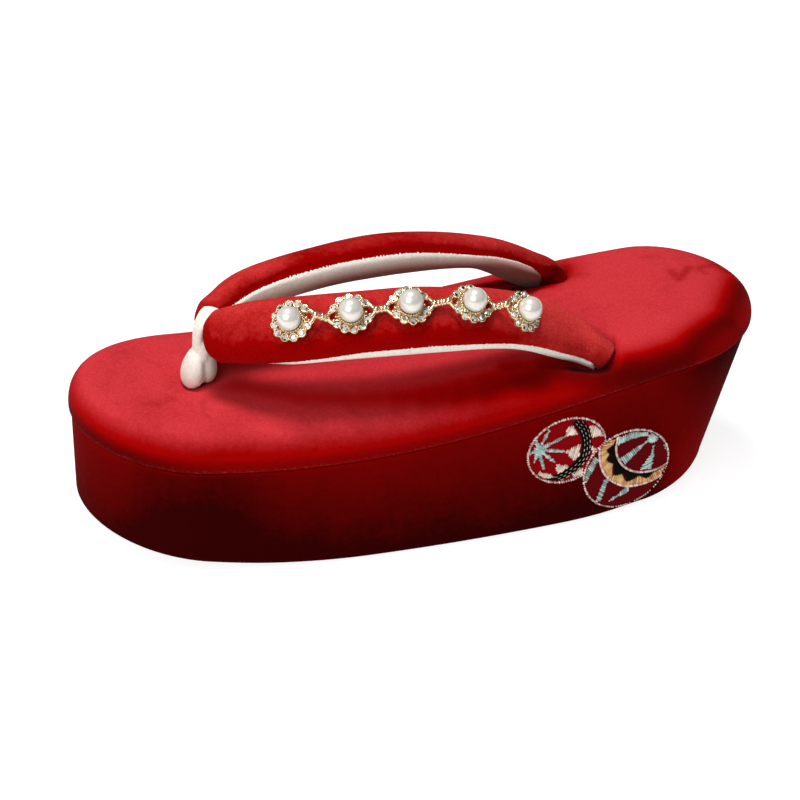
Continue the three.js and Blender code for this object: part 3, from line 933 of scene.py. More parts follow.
bm = bmesh.new()
patch(bm, *BAND_GRID, band_point)
for centre, half, lean, taper in FOOT_LOBES:
    lobe = bmesh.ops.create_uvsphere(bm, u_segments=LOBE_SEGMENTS, v_segments=LOBE_RINGS, radius=1.0)
    for vert in lobe["verts"]:
        narrow = 1 - taper * vert.co.z
        x, y, z = (h * v for h, v in zip(half, vert.co))
        vert.co = (Vector(centre) + Vector((x * narrow + lean * z, y * narrow, z))) * MM
merge(bm)
bmesh.ops.recalc_face_normals(bm, faces=bm.faces)
bm = fused("post_form", bm, POST_GRID, POST_ROUNDS)
post_tree = BVHTree.FromBMesh(bm)
thread_line = []
for point in FOOT_THREAD:
    start = Vector(point) + THREAD_SIDE * THREAD_CAST
    thread_line.append(post_tree.ray_cast(start * MM, -THREAD_SIDE)[0] / MM + THREAD_SIDE * THREAD_STAND)
rod(bm, thread_line, THREAD_RADIUS)
merge(bm)
post = piece("toe_post", bm, cream_cloth)
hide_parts("front_post")
# Painted shade on the foot, stored for its material
paint(post, "nap_and_painted_shading", post_tone)

# Pad: a grid over the top, whose edge is drawn out over the roll, by turns in degrees, and down to
# the seam, by rows of height and inset. Plan sizes are the half length and half width of the top.
GRID_X = 150
GRID_Y = 56
PLAN_X = 110.0
PLAN_Y = 32.0
ROLL_TURNS = [82, 74, 66, 58, 50, 42, 34, 26, 18, 10, 4]
LIP_ROWS = [(0.35, 0.15), (0.12, 0.5), (0.0, 1.0), (0.0, 1.8)]


def plan_turn(x, y):
    return math.atan2(y / PLAN_Y, x / PLAN_X) % (2 * math.pi)


def rim_turn(vert):
    return plan_turn(vert.co.x, vert.co.y)


inset_ring = [(x - out_x * EDGE_ROLL, y - out_y * EDGE_ROLL) for x, y, out_x, out_y in OUTLINE]
ring_turns = np.array([plan_turn(x, y) for x, y in inset_ring])
ring_order = np.argsort(ring_turns)
RING_TURN = ring_turns[ring_order]
RING_REACH = np.array([math.hypot(x / PLAN_X, y / PLAN_Y) for x, y in inset_ring])[ring_order]
RING_PLACE = np.arange(ROUND, dtype=float)[ring_order]


def pad_point(s, t):
    """A point of the pad's top, from a square grid drawn into the inset outline."""
    a = 2 * s - 1
    b = 2 * t - 1
    u = a * math.sqrt(1 - b * b / 2)
    v = b * math.sqrt(1 - a * a / 2)
    share = math.hypot(u, v)
    reach = np.interp(math.atan2(v, u) % (2 * math.pi), RING_TURN, RING_REACH, period=2 * math.pi)
    x = PLAN_X * u * reach
    y = PLAN_Y * v * reach
    return x, y, sole_value(SEAM, x) + sole_value(PAD, x) + CROWN * (1 - share ** 2)


def edge_point(point, inset, share, rise):
    """A point of the pad's edge, above the seam by a share of the pad's height and a rise."""
    x = point[0] - point[2] * inset
    y = point[1] - point[3] * inset
    return Vector((x, y, sole_value(SEAM, x) + sole_value(PAD, x) * share + rise)) * MM


def draw_out(bm, rim, places, inset, share, rise):
    """Adds one row of quads to the pad's open edge and gives its new points. Their order is the same in
    each run, on which the cloth depends."""
    row = [bm.verts.new(edge_point(outline_between(place), inset, share, rise)) for place in places]
    for index, vert in enumerate(row):
        bm.faces.new((rim[index - 1], row[index - 1], vert, rim[index]))
    return row


def stroke_tone(strokes, point):
    """How strongly some strokes mark a point of the pad."""
    tone = 0.0
    spot = Vector((point.x, point.y))
    for stroke in strokes:
        for (x, y, width, depth), end in zip(stroke, stroke[1:]):
            start = Vector((x, y))
            run = Vector(end[:2]) - start
            share = min(max((spot - start).dot(run) / run.length_squared, 0.0), 1.0)
            tone = max(tone, depth * math.exp(-((spot - start - run * share).length / width) ** 2))
    return tone


def nap_tone(point):
    return stroke_tone(NAP_STROKES, point)


# Painted shade on the pad's roll: how dark it gets towards the seam, how much more so round the toe, and
# where
ROLL_DARK = 1.5
ROLL_TOE = 0.35
ROLL_TOE_SPAN = (70, 105)
ROLL_HEIGHTS = (0.98, 0.1)


def pad_shadow_tone(point):
    """Painted shadow in the wide strokes, and painted shade darker down the roll towards the seam."""
    up = (point.z - sole_value(SEAM, point.x)) / sole_value(PAD, point.x)
    roll = ROLL_DARK + ROLL_TOE * ease(point.x, *ROLL_TOE_SPAN)
    return max(stroke_tone(PAINTED_SHADOW_STROKES, point), roll * ease(up, *ROLL_HEIGHTS))


bm = bmesh.new()
patch(bm, GRID_X, GRID_Y, pad_point)
rim = sorted([vert for vert in bm.verts if vert.is_boundary], key=rim_turn)
places = [float(np.interp(rim_turn(vert), RING_TURN, RING_PLACE)) for vert in rim]
for degrees in ROLL_TURNS:
    turn = math.radians(degrees)
    inset = EDGE_ROLL * (1 - math.cos(turn)) - EDGE_BULGE * math.sin(min(2 * turn, math.pi))
    rim = draw_out(bm, rim, places, inset, math.sin(turn), 0.0)
for rise, inset in LIP_ROWS:
    rim = draw_out(bm, rim, places, inset, 0.0, rise)
pad = piece("velvet_pad", bm, pad_velvet)
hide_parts("top_pad")
paint(pad, "worn", near_seam)
paint(pad, "nap_and_painted_shading", nap_tone)
# Painted shadows and painted shade on the pad, stored for its material
paint(pad, "shaded", pad_shadow_tone)

# The straps and the post's foot press the pad in. Gap to them, slopes of the pad around them (towards
# its edge, towards its middle and behind them), softness where slope and pad meet, height above the
# seam that stays free, lowest height of the skin, rounds of smoothing
PRESS_GAP = 0.4
PRESS_SLOPE = 0.38
PRESS_INNER = 1.2
PRESS_STEEP = 4.5
PRESS_BLEND = 0.35
PRESS_FLOOR = 2.0
PRESS_LOWEST = 0.6
PRESS_ROUNDS = 6
# How near under a piece a point counts as pressed, how far lowered it is loose and how far held, and
# the height from which pieces are looked for above it
PRESS_NEAR = 1.0
LOOSE_DROP = 0.05
HELD_DROP = 0.3
CAST_FROM = 20.0


def tree_of(made):
    faces = [face.vertices[:] for face in made.data.polygons]
    return BVHTree.FromPolygons([vert.co for vert in made.data.vertices], faces)


def press(made, others):
    """Lowers the pad's skin under the pieces that stand on it, and slopes it up around them: gently
    towards the pad's edge, more towards its middle, and steeply behind them, towards the heel.
    Gives the points that are held down."""
    trees = [tree_of(other) for other in others]
    points = np.array([vert.co / MM for vert in made.data.vertices])
    under = np.full(len(points), np.inf)
    for index, point in enumerate(points):
        for tree in trees:
            hit = tree.ray_cast(Vector((point[0], point[1], CAST_FROM)) * MM, Vector((0, 0, 1)))[0]
            if hit:
                under[index] = min(under[index], hit.z / MM - PRESS_GAP)
    floor = np.array([sole_value(SEAM, x) for x in points[:, 0]]) + PRESS_FLOOR
    top = points[:, 2] > floor
    pressed = np.where(top & (under < points[:, 2] + PRESS_NEAR))[0]
    height = points[:, 2].copy()
    for index in np.where(top)[0]:
        step = points[index, :2] - points[pressed, :2]
        distance = np.hypot(step[:, 0], step[:, 1])
        reach = np.maximum(distance, 1e-6)
        behind = np.clip(-step[:, 0] / reach, 0, 1) ** 2
        inward = np.clip(-step[:, 1] * np.sign(points[pressed, 1]) / reach, 0, 1)
        slope = PRESS_SLOPE + (PRESS_INNER - PRESS_SLOPE) * inward
        slope += (PRESS_STEEP - PRESS_SLOPE) * behind
        limit = np.min(under[pressed] + slope * distance)
        gap = abs(limit - height[index]) / PRESS_BLEND
        rounding = PRESS_BLEND * math.log1p(math.exp(-min(gap, 50)))
        height[index] = min(limit, height[index]) - rounding
    pairs = np.array([edge.vertices[:] for edge in made.data.edges])
    pairs = np.concatenate([pairs, pairs[:, ::-1]])
    links = np.bincount(pairs[:, 0], minlength=len(points))
    loose = top & (height < points[:, 2] - LOOSE_DROP)
    for step in range(PRESS_ROUNDS):
        mean = np.bincount(pairs[:, 0], weights=height[pairs[:, 1]], minlength=len(points)) / links
        height = np.where(loose, (height + mean) / 2, height)
        height = np.minimum(height, np.where(top, under, np.inf))
    height = np.maximum(height, np.minimum(points[:, 2], floor - PRESS_FLOOR + PRESS_LOWEST))
    for vert, level in zip(made.data.vertices, height):
        vert.co.z = level * MM
    return np.abs(height - points[:, 2]) > HELD_DROP


held = press(pad, [straps, lining, post])

# The pad's cover is blown up a little as stuffed cloth, held at its seam and under the straps: the
# furthest that a point may move, and the steps of the simulation
STUFF_CAP = 1.2
STUFF_FRAMES = 20


def stuff(made, pinned):
    """Runs a cloth simulation on a piece and keeps its result."""
    group = made.vertex_groups.new(name="held")
    group.add([index for index, pin in enumerate(pinned) if pin], 1.0, "REPLACE")
    cover = made.modifiers.new("stuffing", "CLOTH")
    cover.settings.quality = 5
    cover.settings.mass = 0.3
    cover.settings.tension_stiffness = 25
    cover.settings.compression_stiffness = 25
    cover.settings.bending_stiffness = 2.0
    cover.settings.use_pressure = True
    cover.settings.uniform_pressure_force = 4.0
    cover.settings.vertex_group_mass = "held"
    cover.settings.effector_weights.gravity = 0.0
    for step in range(1, STUFF_FRAMES + 1):
        scene.frame_set(step)
    blown = made.evaluated_get(bpy.context.evaluated_depsgraph_get()).data
    shape = [vert.co.copy() for vert in blown.vertices]
    made.modifiers.remove(cover)
    made.vertex_groups.remove(group)
    scene.frame_set(1)
    for vert, spot in zip(made.data.vertices, shape):
        move = (spot - vert.co) / MM
        if move.length > STUFF_CAP:
            move *= STUFF_CAP / move.length
        vert.co += move * MM


spots = [vert.co / MM for vert in pad.data.vertices]
low_edge = np.array([spot.z < sole_value(SEAM, spot.x) + PRESS_FLOOR for spot in spots])
stuff(pad, held | low_edge)


def seat(index):
    """Place of a flower's pearl and the direction out of the strap, from its CAD nodes."""
    low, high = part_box(f"pearl_{index + 1}")
    centre = (low + high) / 2
    verts = [v.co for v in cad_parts[f"setting_{index + 1}"].data.vertices]
    out = (centre - sum(verts, Vector()) / len(verts)).normalized()
    return centre, out


seats = [seat(index) for index in range(FLOWERS)]


def seat_matrix(index):
    """Turns millimetres along the chain, across it and out of the strap into scene coordinates."""
    centre, out = seats[index]
    along = seats[max(index - 1, 0)][0] - seats[min(index + 1, FLOWERS - 1)][0]
    along = (along - out * along.dot(out)).normalized()
    turn = Matrix((along, out.cross(along), out)).transposed().to_4x4()
    turn = turn @ Matrix.Rotation(math.radians(FLOWER_TIP[index]), 4, "Y")
    lowered = Matrix.Translation((0, 0, -PEARL_LIFT * MM))
    return Matrix.Translation(centre) @ turn @ lowered @ Matrix.Scale(MM, 4)


def turned(profile, steps, closed=False):
    """A shape turned from a profile of radius and height, as a mesh to stamp."""
    bm = bmesh.new()
    verts = [bm.verts.new((radius, 0, height)) for radius, height in profile]
    edges = [bm.edges.new(pair) for pair in zip(verts, verts[1:])]
    if closed:
        edges.append(bm.edges.new((verts[-1], verts[0])))
    bmesh.ops.spin(bm, geom=verts + edges, axis=(0, 0, 1), angle=2 * math.pi, steps=steps, use_merge=True)
    bmesh.ops.remove_doubles(bm, verts=bm.verts, dist=1e-4)
    mesh = bpy.data.meshes.new("turned")
    bm.to_mesh(mesh)
    bm.free()
    return mesh


def stamp(bm, mesh, matrix):
    """Adds a copy of a mesh at a place."""
    copy = mesh.copy()
    copy.transform(matrix)
    bm.from_mesh(copy)
    bpy.data.meshes.remove(copy)


def ball_mesh(segments, rings):
    bm = bmesh.new()
    bmesh.ops.create_uvsphere(bm, u_segments=segments, v_segments=rings, radius=1.0)
    mesh = bpy.data.meshes.new("ball")
    bm.to_mesh(mesh)
    bm.free()
    return mesh


def bead(bm, place, out, up, radius):
    """A small bead with few facets, so that it glints."""
    stamp(bm, bead_shape, place @ Matrix.Translation((out, 0, up)) @ Matrix.Scale(radius, 4))


def spoke(base, share):
    """A flower's own coordinates, turned round its middle by a share of a full turn."""
    return base @ Matrix.Rotation(share * 2 * math.pi, 4, "Z")


def is_eye(index, place):
    """Whether a place of the ring is left open towards the next flower."""
    return (place == 0 and index > 0) or (place == PLACES // 2 and index < FLOWERS - 1)


bead_shape = ball_mesh(*BEAD_STEPS)
cup = turned(CUP_PROFILE, CUP_STEPS)
collar = turned(COLLAR_PROFILE, COLLAR_STEPS, True)
wire_turns = [corner * math.pi / 4 for corner in range(8)]
ring_profile = [(LINK_RING + LINK_WIRE * math.cos(turn), LINK_WIRE * math.sin(turn)) for turn in wire_turns]
jump_ring = turned(ring_profile, RING_STEPS, True)

gold = bmesh.new()
links = bmesh.new()
glass = bmesh.new()
balls = bmesh.new()
for index in range(FLOWERS):
    base = seat_matrix(index)
    stamp(gold, collar, base)
    for place in range(PLACES):
        here = spoke(base, place / PLACES)
        if is_eye(index, place):
            for side in (1, -1):
                arm = [here @ Vector((out, aside * side, up)) / MM for out, aside, up in EYE_ARM]
                rod(gold, arm, EYE_WIRE)
            bead(gold, here, *EYE_BEAD)
            bead(gold, here, *EYE_SEED)
            continue
        spot = here @ Matrix.Translation((STONE_RING, 0, 0)) @ Matrix.Rotation(CUP_LEAN, 4, "Y")
        stamp(gold, cup, spot)
        turn = Matrix.Rotation(random.uniform(0, STONE_TURN), 4, "Z")
        spot = spot @ Matrix.Translation((0, 0, STONE_TOP)) @ turn
        bmesh.ops.create_cone(glass, cap_ends=True, segments=STONE_STEPS, radius1=STONE_LOW_RADIUS,
                              radius2=STONE_TOP_RADIUS, depth=STONE_DEPTH, matrix=spot)
    for place in range(PLACES):
        bead(gold, spoke(base, (place + 0.5) / PLACES), *PRONG_BEAD)
    for count in range(COLLAR_BEADS):
        bead(gold, spoke(base, (count + 0.5) / COLLAR_BEADS), *COLLAR_BEAD)
    spot = base @ Matrix.Translation((0, 0, PEARL_SEAT))
    bmesh.ops.create_uvsphere(balls, u_segments=PEARL_STEPS[0], v_segments=PEARL_STEPS[1],
                              radius=PEARL_RADIUS, matrix=spot)
eye_reach, eye_lift = EYE_BEAD[:2]
for index in range(FLOWERS - 1):
    start = seat_matrix(index) @ Vector((-eye_reach, 0, eye_lift))
    end = seat_matrix(index + 1) @ Vector((eye_reach, 0, eye_lift))
    turn = (end - start).to_track_quat("Z", "Y").to_matrix().to_4x4() @ Matrix.Scale(MM, 4)
    stamp(links, jump_ring, Matrix.Translation((start + end) / 2) @ turn)
    for share in LINK_PLACES:
        bead(links, Matrix.Translation(start.lerp(end, share)) @ turn, 0, 0, LINK_BEAD)
for mesh in (bead_shape, cup, collar, jump_ring):
    bpy.data.meshes.remove(mesh)
merge(gold)
merge(links)
flowers = piece("gilt_flowers", gold, gilt)
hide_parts(*[f"setting_{index + 1}" for index in range(FLOWERS)])
chain_links = piece("gilt_links", links, gilt)
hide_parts(*[f"link_{index + 1}" for index in range(FLOWERS - 1)])
pearls = piece("pearls", balls, pearl)
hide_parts(*[f"pearl_{index + 1}" for index in range(FLOWERS)])
stones = piece("cut_glass_stones", glass, crystal, flat=True)
# Painted reflections: each facet gets a white, grey or dark tone at random, mostly white
facet_reflections = stones.data.attributes.new("facet_reflection", "FLOAT", "FACE")
for face in stones.data.polygons:
    facet_reflections.data[face.index].value = random.choice(STONE_REFLECTIONS)

# Embroidery on the outer wall: two thread balls. A ball's plan lies in the wall's upright plane, p
# towards the heel and q upwards from the ball's middle. Its figures are set round a hub by distance
# and by degrees from p.
BACK_BALL = {"centre": (-42.0, 31.5), "half": (14.15, 12.85), "hub": (-10.4, 2.5)}
FRONT_BALL = {"centre": (-65.0, 18.5), "half": (16.15, 15.7), "hub": (9.6, 10.7)}
# Stitches are drawn coarser than strands of floss, which are too fine to show: distance from one to
# the next, width, height, shortest and usual longest length, steps in which a line is tried, how far
# the ends are set apart from one another, and margin to the ball's edge
STITCH_GAP = 0.7
STITCH_WIDTH = 0.68
STITCH_HEIGHT = 0.42
STITCH_SHORT = 0.25
STITCH_LONG = 5.0
STITCH_STEPS = 14
STITCH_RAGGED = 0.35
STITCH_MARGIN = 0.5
# A strand of a stitch: steps round it and along it, how blunt its ends are, the share of its arch by
# which it rises, and how deep it is sunk
STRAND_STEPS = (6, 5)
STRAND_BLUNT = 0.6
STRAND_RISE = 0.6
STRAND_SINK = 0.02
# Slant of satin stitches to a figure, and of stitches across a curved band, in degrees
SATIN_SLANT = 68
BAND_SLANT = 3
# A ball's rim: where its foot is and where that fades in, in degrees, slant of its stitches in
# radians, their half lengths, steps from one to the next in usual steps, and room that they need
RIM_FOOT = 300
RIM_FOOT_FADE = (80, 40)
RIM_SLANT = 0.5
RIM_HALF = (0.22, 0.62)
RIM_STEP = (0.8, 1.5)
RIM_ROOM = 0.3
# A ball's ground: rows and columns, share of its radius where it turns in, and how deep it turns in
GROUND_GRID = (24, 72)
GROUND_EDGE = 0.93
GROUND_TUCK = 0.1
# How high the layers of floss lie on one another
GROUND_LIFT = 0.12
FRONT_GROUND_LIFT = 0.2
CREAM_LIFT = 0.1
FIGURE_LIFT = 0.12
ZIGZAG_LIFT = 0.14
HUB_LIFT = 0.2
BACK_HUB_LIFT = 0.25
ARC_LIFT = 0.24
DASH_LIFT = 0.3
DASH_WIDTH = 0.17
RIM_LIFT = 0.06
wall_tree = tree_of(sole)


def lay(ball, spot, lift):
    """A point of a ball's plan laid on the wall, raised by a lift in millimetres, in metres."""
    x = ball["centre"][0] - spot[0]
    z = ball["centre"][1] + spot[1]
    hit, normal, face, distance = wall_tree.ray_cast(Vector((x, 90, z)) * MM, Vector((0, -1, 0)))
    if hit is None:
        return None
    return hit + normal * lift * MM


def polar(ball, distance, degrees):
    turn = math.radians(degrees)
    return Vector((ball["hub"][0] + distance * math.cos(turn), ball["hub"][1] + distance * math.sin(turn)))


def inside(ball, spot, margin):
    return math.hypot(spot[0] / (ball["half"][0] - margin), spot[1] / (ball["half"][1] - margin)) < 1


def covered(ball, spot, margin):
    """Whether a spot of the back ball lies under the front ball, with a margin round that."""
    if ball is FRONT_BALL:
        return False
    p = spot[0] + FRONT_BALL["centre"][0] - ball["centre"][0]
    q = spot[1] + ball["centre"][1] - FRONT_BALL["centre"][1]
    return inside(FRONT_BALL, (p, q), -margin)


def is_free(ball, spot):
    """Whether a stitch may lie at this spot: within its ball, and not under the front ball."""
    return inside(ball, spot, STITCH_MARGIN) and not covered(ball, spot, STITCH_MARGIN)


strand = ball_mesh(*STRAND_STEPS)
strand.attributes.new("tone", "FLOAT", "POINT")
STRAND_POINTS = [vert.co.copy() for vert in strand.vertices]


def stitch(bm, ball, start, end, lift=0.0, width=STITCH_WIDTH):
    """One strand of floss, laid on the wall and dipping into it at both ends."""
    run = end - start
    if run.length < STITCH_SHORT:
        return
    middle = (start + end) / 2
    side = Vector((-run.y, run.x)).normalized()
    for vert, (across, out, along) in zip(strand.vertices, STRAND_POINTS):
        reach = math.copysign(abs(along) ** STRAND_BLUNT, along)
        spot = middle + run * (reach / 2) + side * (across * width / 2)
        arch = STITCH_HEIGHT * (1 - reach ** 4) + lift
        vert.co = lay(ball, spot, arch * STRAND_RISE + out * STITCH_HEIGHT / 2 - STRAND_SINK)
    tone = random.random()
    for value in strand.attributes["tone"].data:
        value.value = tone
    bm.from_mesh(strand)


def sew(bm, ball, start, end, lift=0.0):
    """A line of stitches from start to end, as far as they may lie there."""
    run = []
    for step in range(STITCH_STEPS + 1):
        spot = start.lerp(end, step / STITCH_STEPS)
        if is_free(ball, spot) and lay(ball, spot, 0) is not None:
            run.append(spot)
        elif run:
            break
    if len(run) < 2:
        return
    first, last = run[0], run[-1]
    parts = max(1, int(round((last - first).length / STITCH_LONG)))
    for part in range(parts):
        stitch(bm, ball, first.lerp(last, part / parts), first.lerp(last, (part + 1) / parts), lift)


def fill(bm, ball, corners, lean, lift=0.0):
    """Fills a shape with satin stitches side by side, all at one lean in degrees."""
    along = Vector((math.cos(math.radians(lean)), math.sin(math.radians(lean))))
    across = Vector((-along.y, along.x))
    levels = [across.dot(corner) for corner in corners]
    level = min(levels) + STITCH_GAP / 2
    while level < max(levels):
        cuts = []
        for index, corner in enumerate(corners):
            before = corners[index - 1]
            low = across.dot(before)
            high = across.dot(corner)
            if (low < level) != (high < level):
                cuts.append(along.dot(before.lerp(corner, (level - low) / (high - low))))
        cuts.sort()
        row = across * level
        for start, end in zip(cuts[::2], cuts[1::2]):
            ragged = random.uniform(-STITCH_RAGGED, STITCH_RAGGED)
            sew(bm, ball, along * (start - ragged) + row, along * (end + ragged) + row, lift)
        level += STITCH_GAP


def shape(ball, *places):
    return [polar(ball, distance, degrees) for distance, degrees in places]


def wedge(ball, root, tip, root_width, tip_width):
    """A long tapered figure from root to tip, both given by distance and degrees."""
    start = polar(ball, *root)
    end = polar(ball, *tip)
    run = (end - start).normalized()
    side = Vector((-run.y, run.x)) / 2
    root_side = side * root_width
    tip_side = side * tip_width
    return [start + root_side, end + tip_side, end - tip_side, start - root_side]


def lean_of(corners):
    """The lean of stitches laid slantwise across a long figure."""
    run = (corners[1] + corners[2] - corners[0] - corners[3]) / 2
    return math.degrees(math.atan2(run.y, run.x)) + SATIN_SLANT


def hub(bm, ball, reach, step, lift):
    """Stitches across a ball's hub, turned by some degrees from one to the next."""
    for degrees in range(0, 180, step):
        sew(bm, ball, polar(ball, reach, degrees), polar(ball, -reach, degrees), lift)


def arc_band(bm, ball, table, lift=0.0):
    """Stitches across a curved band, from rows of degrees, inner distance and outer distance."""
    table = np.array(table)
    degrees = table[0, 0]
    while degrees < table[-1, 0]:
        inner = np.interp(degrees, table[:, 0], table[:, 1])
        outer = np.interp(degrees, table[:, 0], table[:, 2])
        sew(bm, ball, polar(ball, inner, degrees), polar(ball, outer, degrees + BAND_SLANT), lift)
        degrees += math.degrees(STITCH_GAP / outer)


def rim_stitches(bm, ball, thin):
    """Short stitches across the ball's edge all the way round, narrower by a share at its foot."""
    degrees = 0.0
    while degrees < 360:
        turn = math.radians(degrees)
        edge = Vector((ball["half"][0] * math.cos(turn), ball["half"][1] * math.sin(turn)))
        width = 1 - thin * ease(abs(math.remainder(degrees - RIM_FOOT, 360)), *RIM_FOOT_FADE)
        out = Vector((math.cos(turn + RIM_SLANT), math.sin(turn + RIM_SLANT)))
        half = out * width * random.uniform(*RIM_HALF)
        if not covered(ball, edge, RIM_ROOM):
            start = edge - half
            end = edge + half
            if lay(ball, start - out * RIM_ROOM, 0) and lay(ball, end + out * RIM_ROOM, 0):
                stitch(bm, ball, start, end, RIM_LIFT)
        degrees += math.degrees(STITCH_GAP * random.uniform(*RIM_STEP) / ball["half"][0])


def disc(ball, lift):
    """The ball's ground of floss: a thin disc on the wall, its edge turned in."""
    def place(s, t):
        turn = t * 2 * math.pi
        spot = (ball["half"][0] * s * math.cos(turn), ball["half"][1] * s * math.sin(turn))
        return lay(ball, spot, lift - (lift + GROUND_TUCK) * ease(s, GROUND_EDGE, 1.0)) / MM
    made = bmesh.new()
    patch(made, *GROUND_GRID, place)
    merge(made)
    return made


def floss_layer():
    made = bmesh.new()
    made.verts.layers.float.new("tone")
    return made


teal = floss_layer()
cream = floss_layer()
ochre = floss_layer()
black = floss_layer()
pink = floss_layer()

# Back ball: rays from a hub, petals between them, and a dark band with dashed lines
RAYS = [(8.0, 64), (10.2, 20), (10.0, -16), (8.8, -46), (8.6, -75), (5.2, -106), (3.3, -161), (5.0, 106)]
for reach, degrees in RAYS:
    ray = wedge(BACK_BALL, (1.0, degrees), (reach, degrees), 1.5, 0.9)
    fill(teal, BACK_BALL, ray, lean_of(ray), FIGURE_LIFT)
hub(teal, BACK_BALL, 2.1, 30, BACK_HUB_LIFT)
# Petals: lean of the stitches, then the corners
PETALS = [
    (60, (9.8, 20), (12.2, 34), (14.2, 32), (14.9, 12), (12.5, 14)),
    (75, (10.2, -16), (14.2, -4), (15.3, -2), (16.1, -21), (15.4, -30), (14.2, -29)),
    (50, (9.8, -47), (13.6, -39), (14.8, -40), (14.0, -57), (12.4, -58)),
    (60, (8.9, -88), (12.7, -64), (14.2, -62), (14.0, -72), (11.0, -88)),
    (80, (19.0, 18), (23.2, 12), (24.4, 2), (19.4, 1)),
    (80, (19.8, -8), (23.2, -14), (20.8, -21)),
    (60, (18.2, -46), (19.6, -33), (22.0, -38), (20.0, -47)),
]
for lean, *corners in PETALS:
    fill(cream, BACK_BALL, shape(BACK_BALL, *corners), lean, CREAM_LIFT)
DARK_BAND = np.array([
    (-75, 12.5, 15.5), (-60, 13.2, 17.2), (-40, 14.7, 19.1), (-21, 16.2, 20.2), (0, 15.4, 19.3),
    (13, 14.9, 18.9), (34, 14.0, 18.0),
])
arc_band(black, BACK_BALL, DARK_BAND, FIGURE_LIFT)
# Dashed lines along the band: shares of its width, then in degrees where they start and end, the step
# from dash to dash, the length of a dash, and how far the lines are set off from one another
DASH_LINES = (0.3, 0.56, 0.82)
DASH_SPAN = (-66, 32)
DASH_STEP = 7
DASH_LENGTH = 4.8
DASH_OFFSET = 8
for share in DASH_LINES:
    for degrees in range(*DASH_SPAN, DASH_STEP):
        first = degrees + DASH_OFFSET * share
        ends = []
        for turn in (first, first + DASH_LENGTH):
            inner = np.interp(turn, DARK_BAND[:, 0], DARK_BAND[:, 1])
            outer = np.interp(turn, DARK_BAND[:, 0], DARK_BAND[:, 2])
            ends.append(polar(BACK_BALL, inner + (outer - inner) * share, turn))
        if is_free(BACK_BALL, ends[0]) and is_free(BACK_BALL, ends[1]):
            stitch(cream, BACK_BALL, ends[0], ends[1], DASH_LIFT, DASH_WIDTH)

# Front ball: stripes from a hub, an arc, a dark zigzag on gold, a second arc and more stripes
FRONT_FIGURES = [
    (shape(FRONT_BALL, (2.0, 150), (4, 132), (9, 150), (14.2, 166), (13.9, 181), (8.5, 171)), 85),
    (shape(FRONT_BALL, (1.5, -164), (14.0, -157), (13.8, -138)), 118),
    (shape(FRONT_BALL, (1.5, -75), (7.5, -96), (13.6, -111), (13.8, -88), (8, -84)), 20),
    (shape(FRONT_BALL, (1.5, 20), (4.4, -8), (9.0, -44), (12.0, -58), (9.0, -53), (4.5, -35)), -10),
    (wedge(FRONT_BALL, (21.6, -171), (28.6, -154), 2.9, 2.0), None),
    (wedge(FRONT_BALL, (21.6, -142), (29.6, -132), 2.2, 2.0), None),
    (wedge(FRONT_BALL, (21.2, -112), (28.4, -125), 2.6, 0.6), None),
]
for corners, lean in FRONT_FIGURES:
    fill(teal, FRONT_BALL, corners, lean_of(corners) if lean is None else lean, FIGURE_LIFT)
hub(teal, FRONT_BALL, 2.6, 20, HUB_LIFT)
# The zigzag's edge and the two arcs beside it, by degrees and distance
ARC_NEAR = (165, 303)
ARC_NEAR_REACH = (13.95, 14.75)
ARC_FAR = [(168, 20.0), (182, 20.4), (210, 20.9), (240, 20.5), (265, 18.9), (285, 17.6)]
ZIGZAG = [
    (170, 14.8), (176, 15.2), (182, 18.1), (189, 16.8), (195, 18.6), (205, 16.6), (219, 19.4),
    (227, 16.7), (240, 19.0), (253, 15.8), (265, 17.4), (274, 15.2), (290, 14.9),
]
ZIGZAG_ROOT = 14.5
far_turn, far_reach = zip(*ARC_FAR)
beyond = [(turn, reach - 0.2, np.interp(turn, far_turn, far_reach)) for turn, reach in ZIGZAG]
arc_band(ochre, FRONT_BALL, beyond, CREAM_LIFT)
arc_band(black, FRONT_BALL, [(turn, ZIGZAG_ROOT, reach) for turn, reach in ZIGZAG], ZIGZAG_LIFT)
arc_band(pink, FRONT_BALL, [(turn, *ARC_NEAR_REACH) for turn in ARC_NEAR], ARC_LIFT)
arc_band(pink, FRONT_BALL, [(turn, reach - 0.3, reach + 0.5) for turn, reach in ARC_FAR], ARC_LIFT)
rim_stitches(pink, BACK_BALL, 0.0)
rim_stitches(pink, FRONT_BALL, 0.55)
bpy.data.meshes.remove(strand)
piece("embroidered_back_ground", disc(BACK_BALL, GROUND_LIFT), flosses["red"])
piece("embroidered_front_ground", disc(FRONT_BALL, FRONT_GROUND_LIFT), flosses["dark_red"])
piece("embroidery_teal", teal, flosses["pale_teal"])
piece("embroidery_cream", cream, flosses["cream"])
piece("embroidery_gold", ochre, flosses["gold"])
piece("embroidery_black", black, flosses["black"])
piece("embroidery_pink", pink, flosses["pale_pink"])

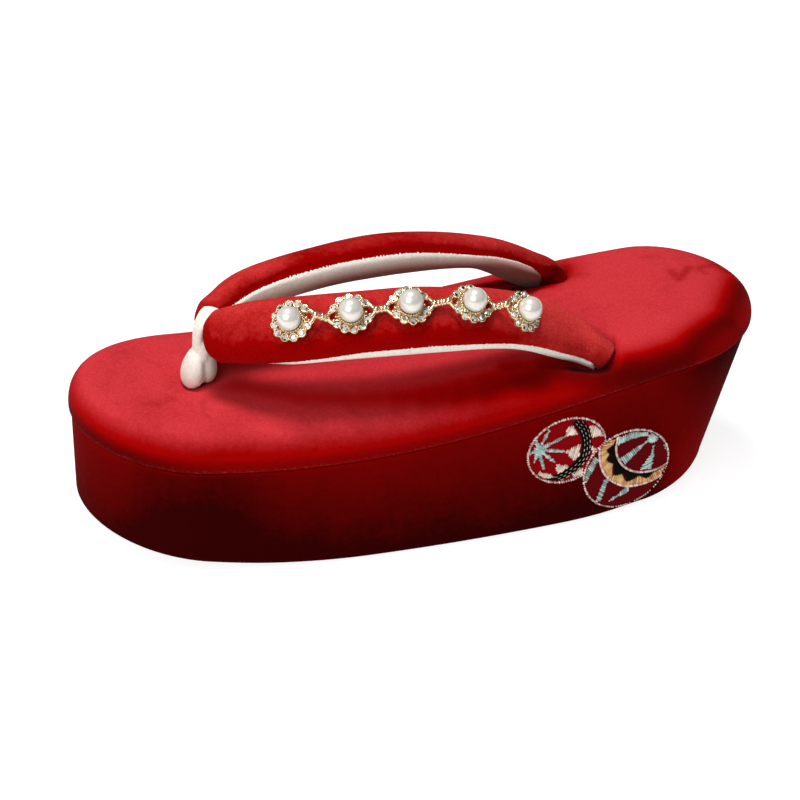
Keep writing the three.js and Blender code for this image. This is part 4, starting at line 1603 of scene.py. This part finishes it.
# A light table: white board that glows a little, so that shadows on it stay faint
FLOOR_SIZE = 4.0
FLOOR_GAP = 0.0004
bm = bmesh.new()
bmesh.ops.create_grid(bm, x_segments=1, y_segments=1, size=FLOOR_SIZE)
mesh = bpy.data.meshes.new("floor")
bm.to_mesh(mesh)
bm.free()
floor = bpy.data.objects.new("floor", mesh)
scene.collection.objects.link(floor)
mesh.materials.append(material("white_light_table", {
    "Base Color": (0.35, 0.35, 0.35, 1),
    "Roughness": 0.9,
    "Emission Color": (1, 1, 1, 1),
    "Emission Strength": 0.88,
})[0])
floor.location.z = -FLOOR_GAP

# The camera stands where the photograph was taken from and looks at the shoe's middle. Its place is
# in millimetres, its turns are in degrees, and its focal length is in pixels of the image.
FOCAL_PIXELS = 2615
IMAGE_WIDTH = 800
SENSOR_WIDTH = 36
CAMERA_PLACE = (217.5, 719.4, 539.4)
CAMERA_TURN = (56.03, -0.92, 164.21)
lens = bpy.data.cameras.new("camera")
lens.sensor_width = SENSOR_WIDTH
lens.lens = FOCAL_PIXELS * SENSOR_WIDTH / IMAGE_WIDTH
lens.clip_start = 0.05
camera = bpy.data.objects.new("camera", lens)
scene.collection.objects.link(camera)
aim = Euler([math.radians(turn) for turn in CAMERA_TURN]).to_matrix().to_4x4()
camera.matrix_world = Matrix.Translation(Vector(CAMERA_PLACE) * MM) @ aim
scene.camera = camera

SHOE_MIDDLE = Vector((0, 0, 0.05))


def softbox(name, place, size, power):
    """A square soft light aimed at the shoe."""
    lamp = bpy.data.lights.new(name, "AREA")
    lamp.shape = "SQUARE"
    lamp.size = size
    lamp.energy = power
    made = bpy.data.objects.new(name, lamp)
    scene.collection.objects.link(made)
    made.location = place
    made.rotation_euler = (SHOE_MIDDLE - Vector(place)).to_track_quat("-Z", "Y").to_euler()


softbox("key_softbox", (0.15, -0.25, 1.45), 0.4, 17)
softbox("fill_softbox", (0.8, 0.75, 0.95), 1.0, 13)

# The room is bright all round, but dim low down on the camera's side
DIM_SIDE = (0.25, 0.95, 0.2)
world = bpy.data.worlds.new("studio")
scene.world = world
world.use_nodes = True
room = world.node_tree
sky = add(room, "ShaderNodeTexCoord", {}, "Generated")
heading = add(room, "ShaderNodeVectorMath", {"operation": "DOT_PRODUCT", 0: sky, 1: DIM_SIDE}, "Value")
light = add(room, "ShaderNodeMapRange", {
    "Value": heading,
    "From Min": 0.7,
    "From Max": 0.95,
    "To Min": 0.52,
    "To Max": 0.06,
})
room.links.new(light, room.nodes["Background"].inputs["Strength"])
scene.view_settings.view_transform = "Standard"
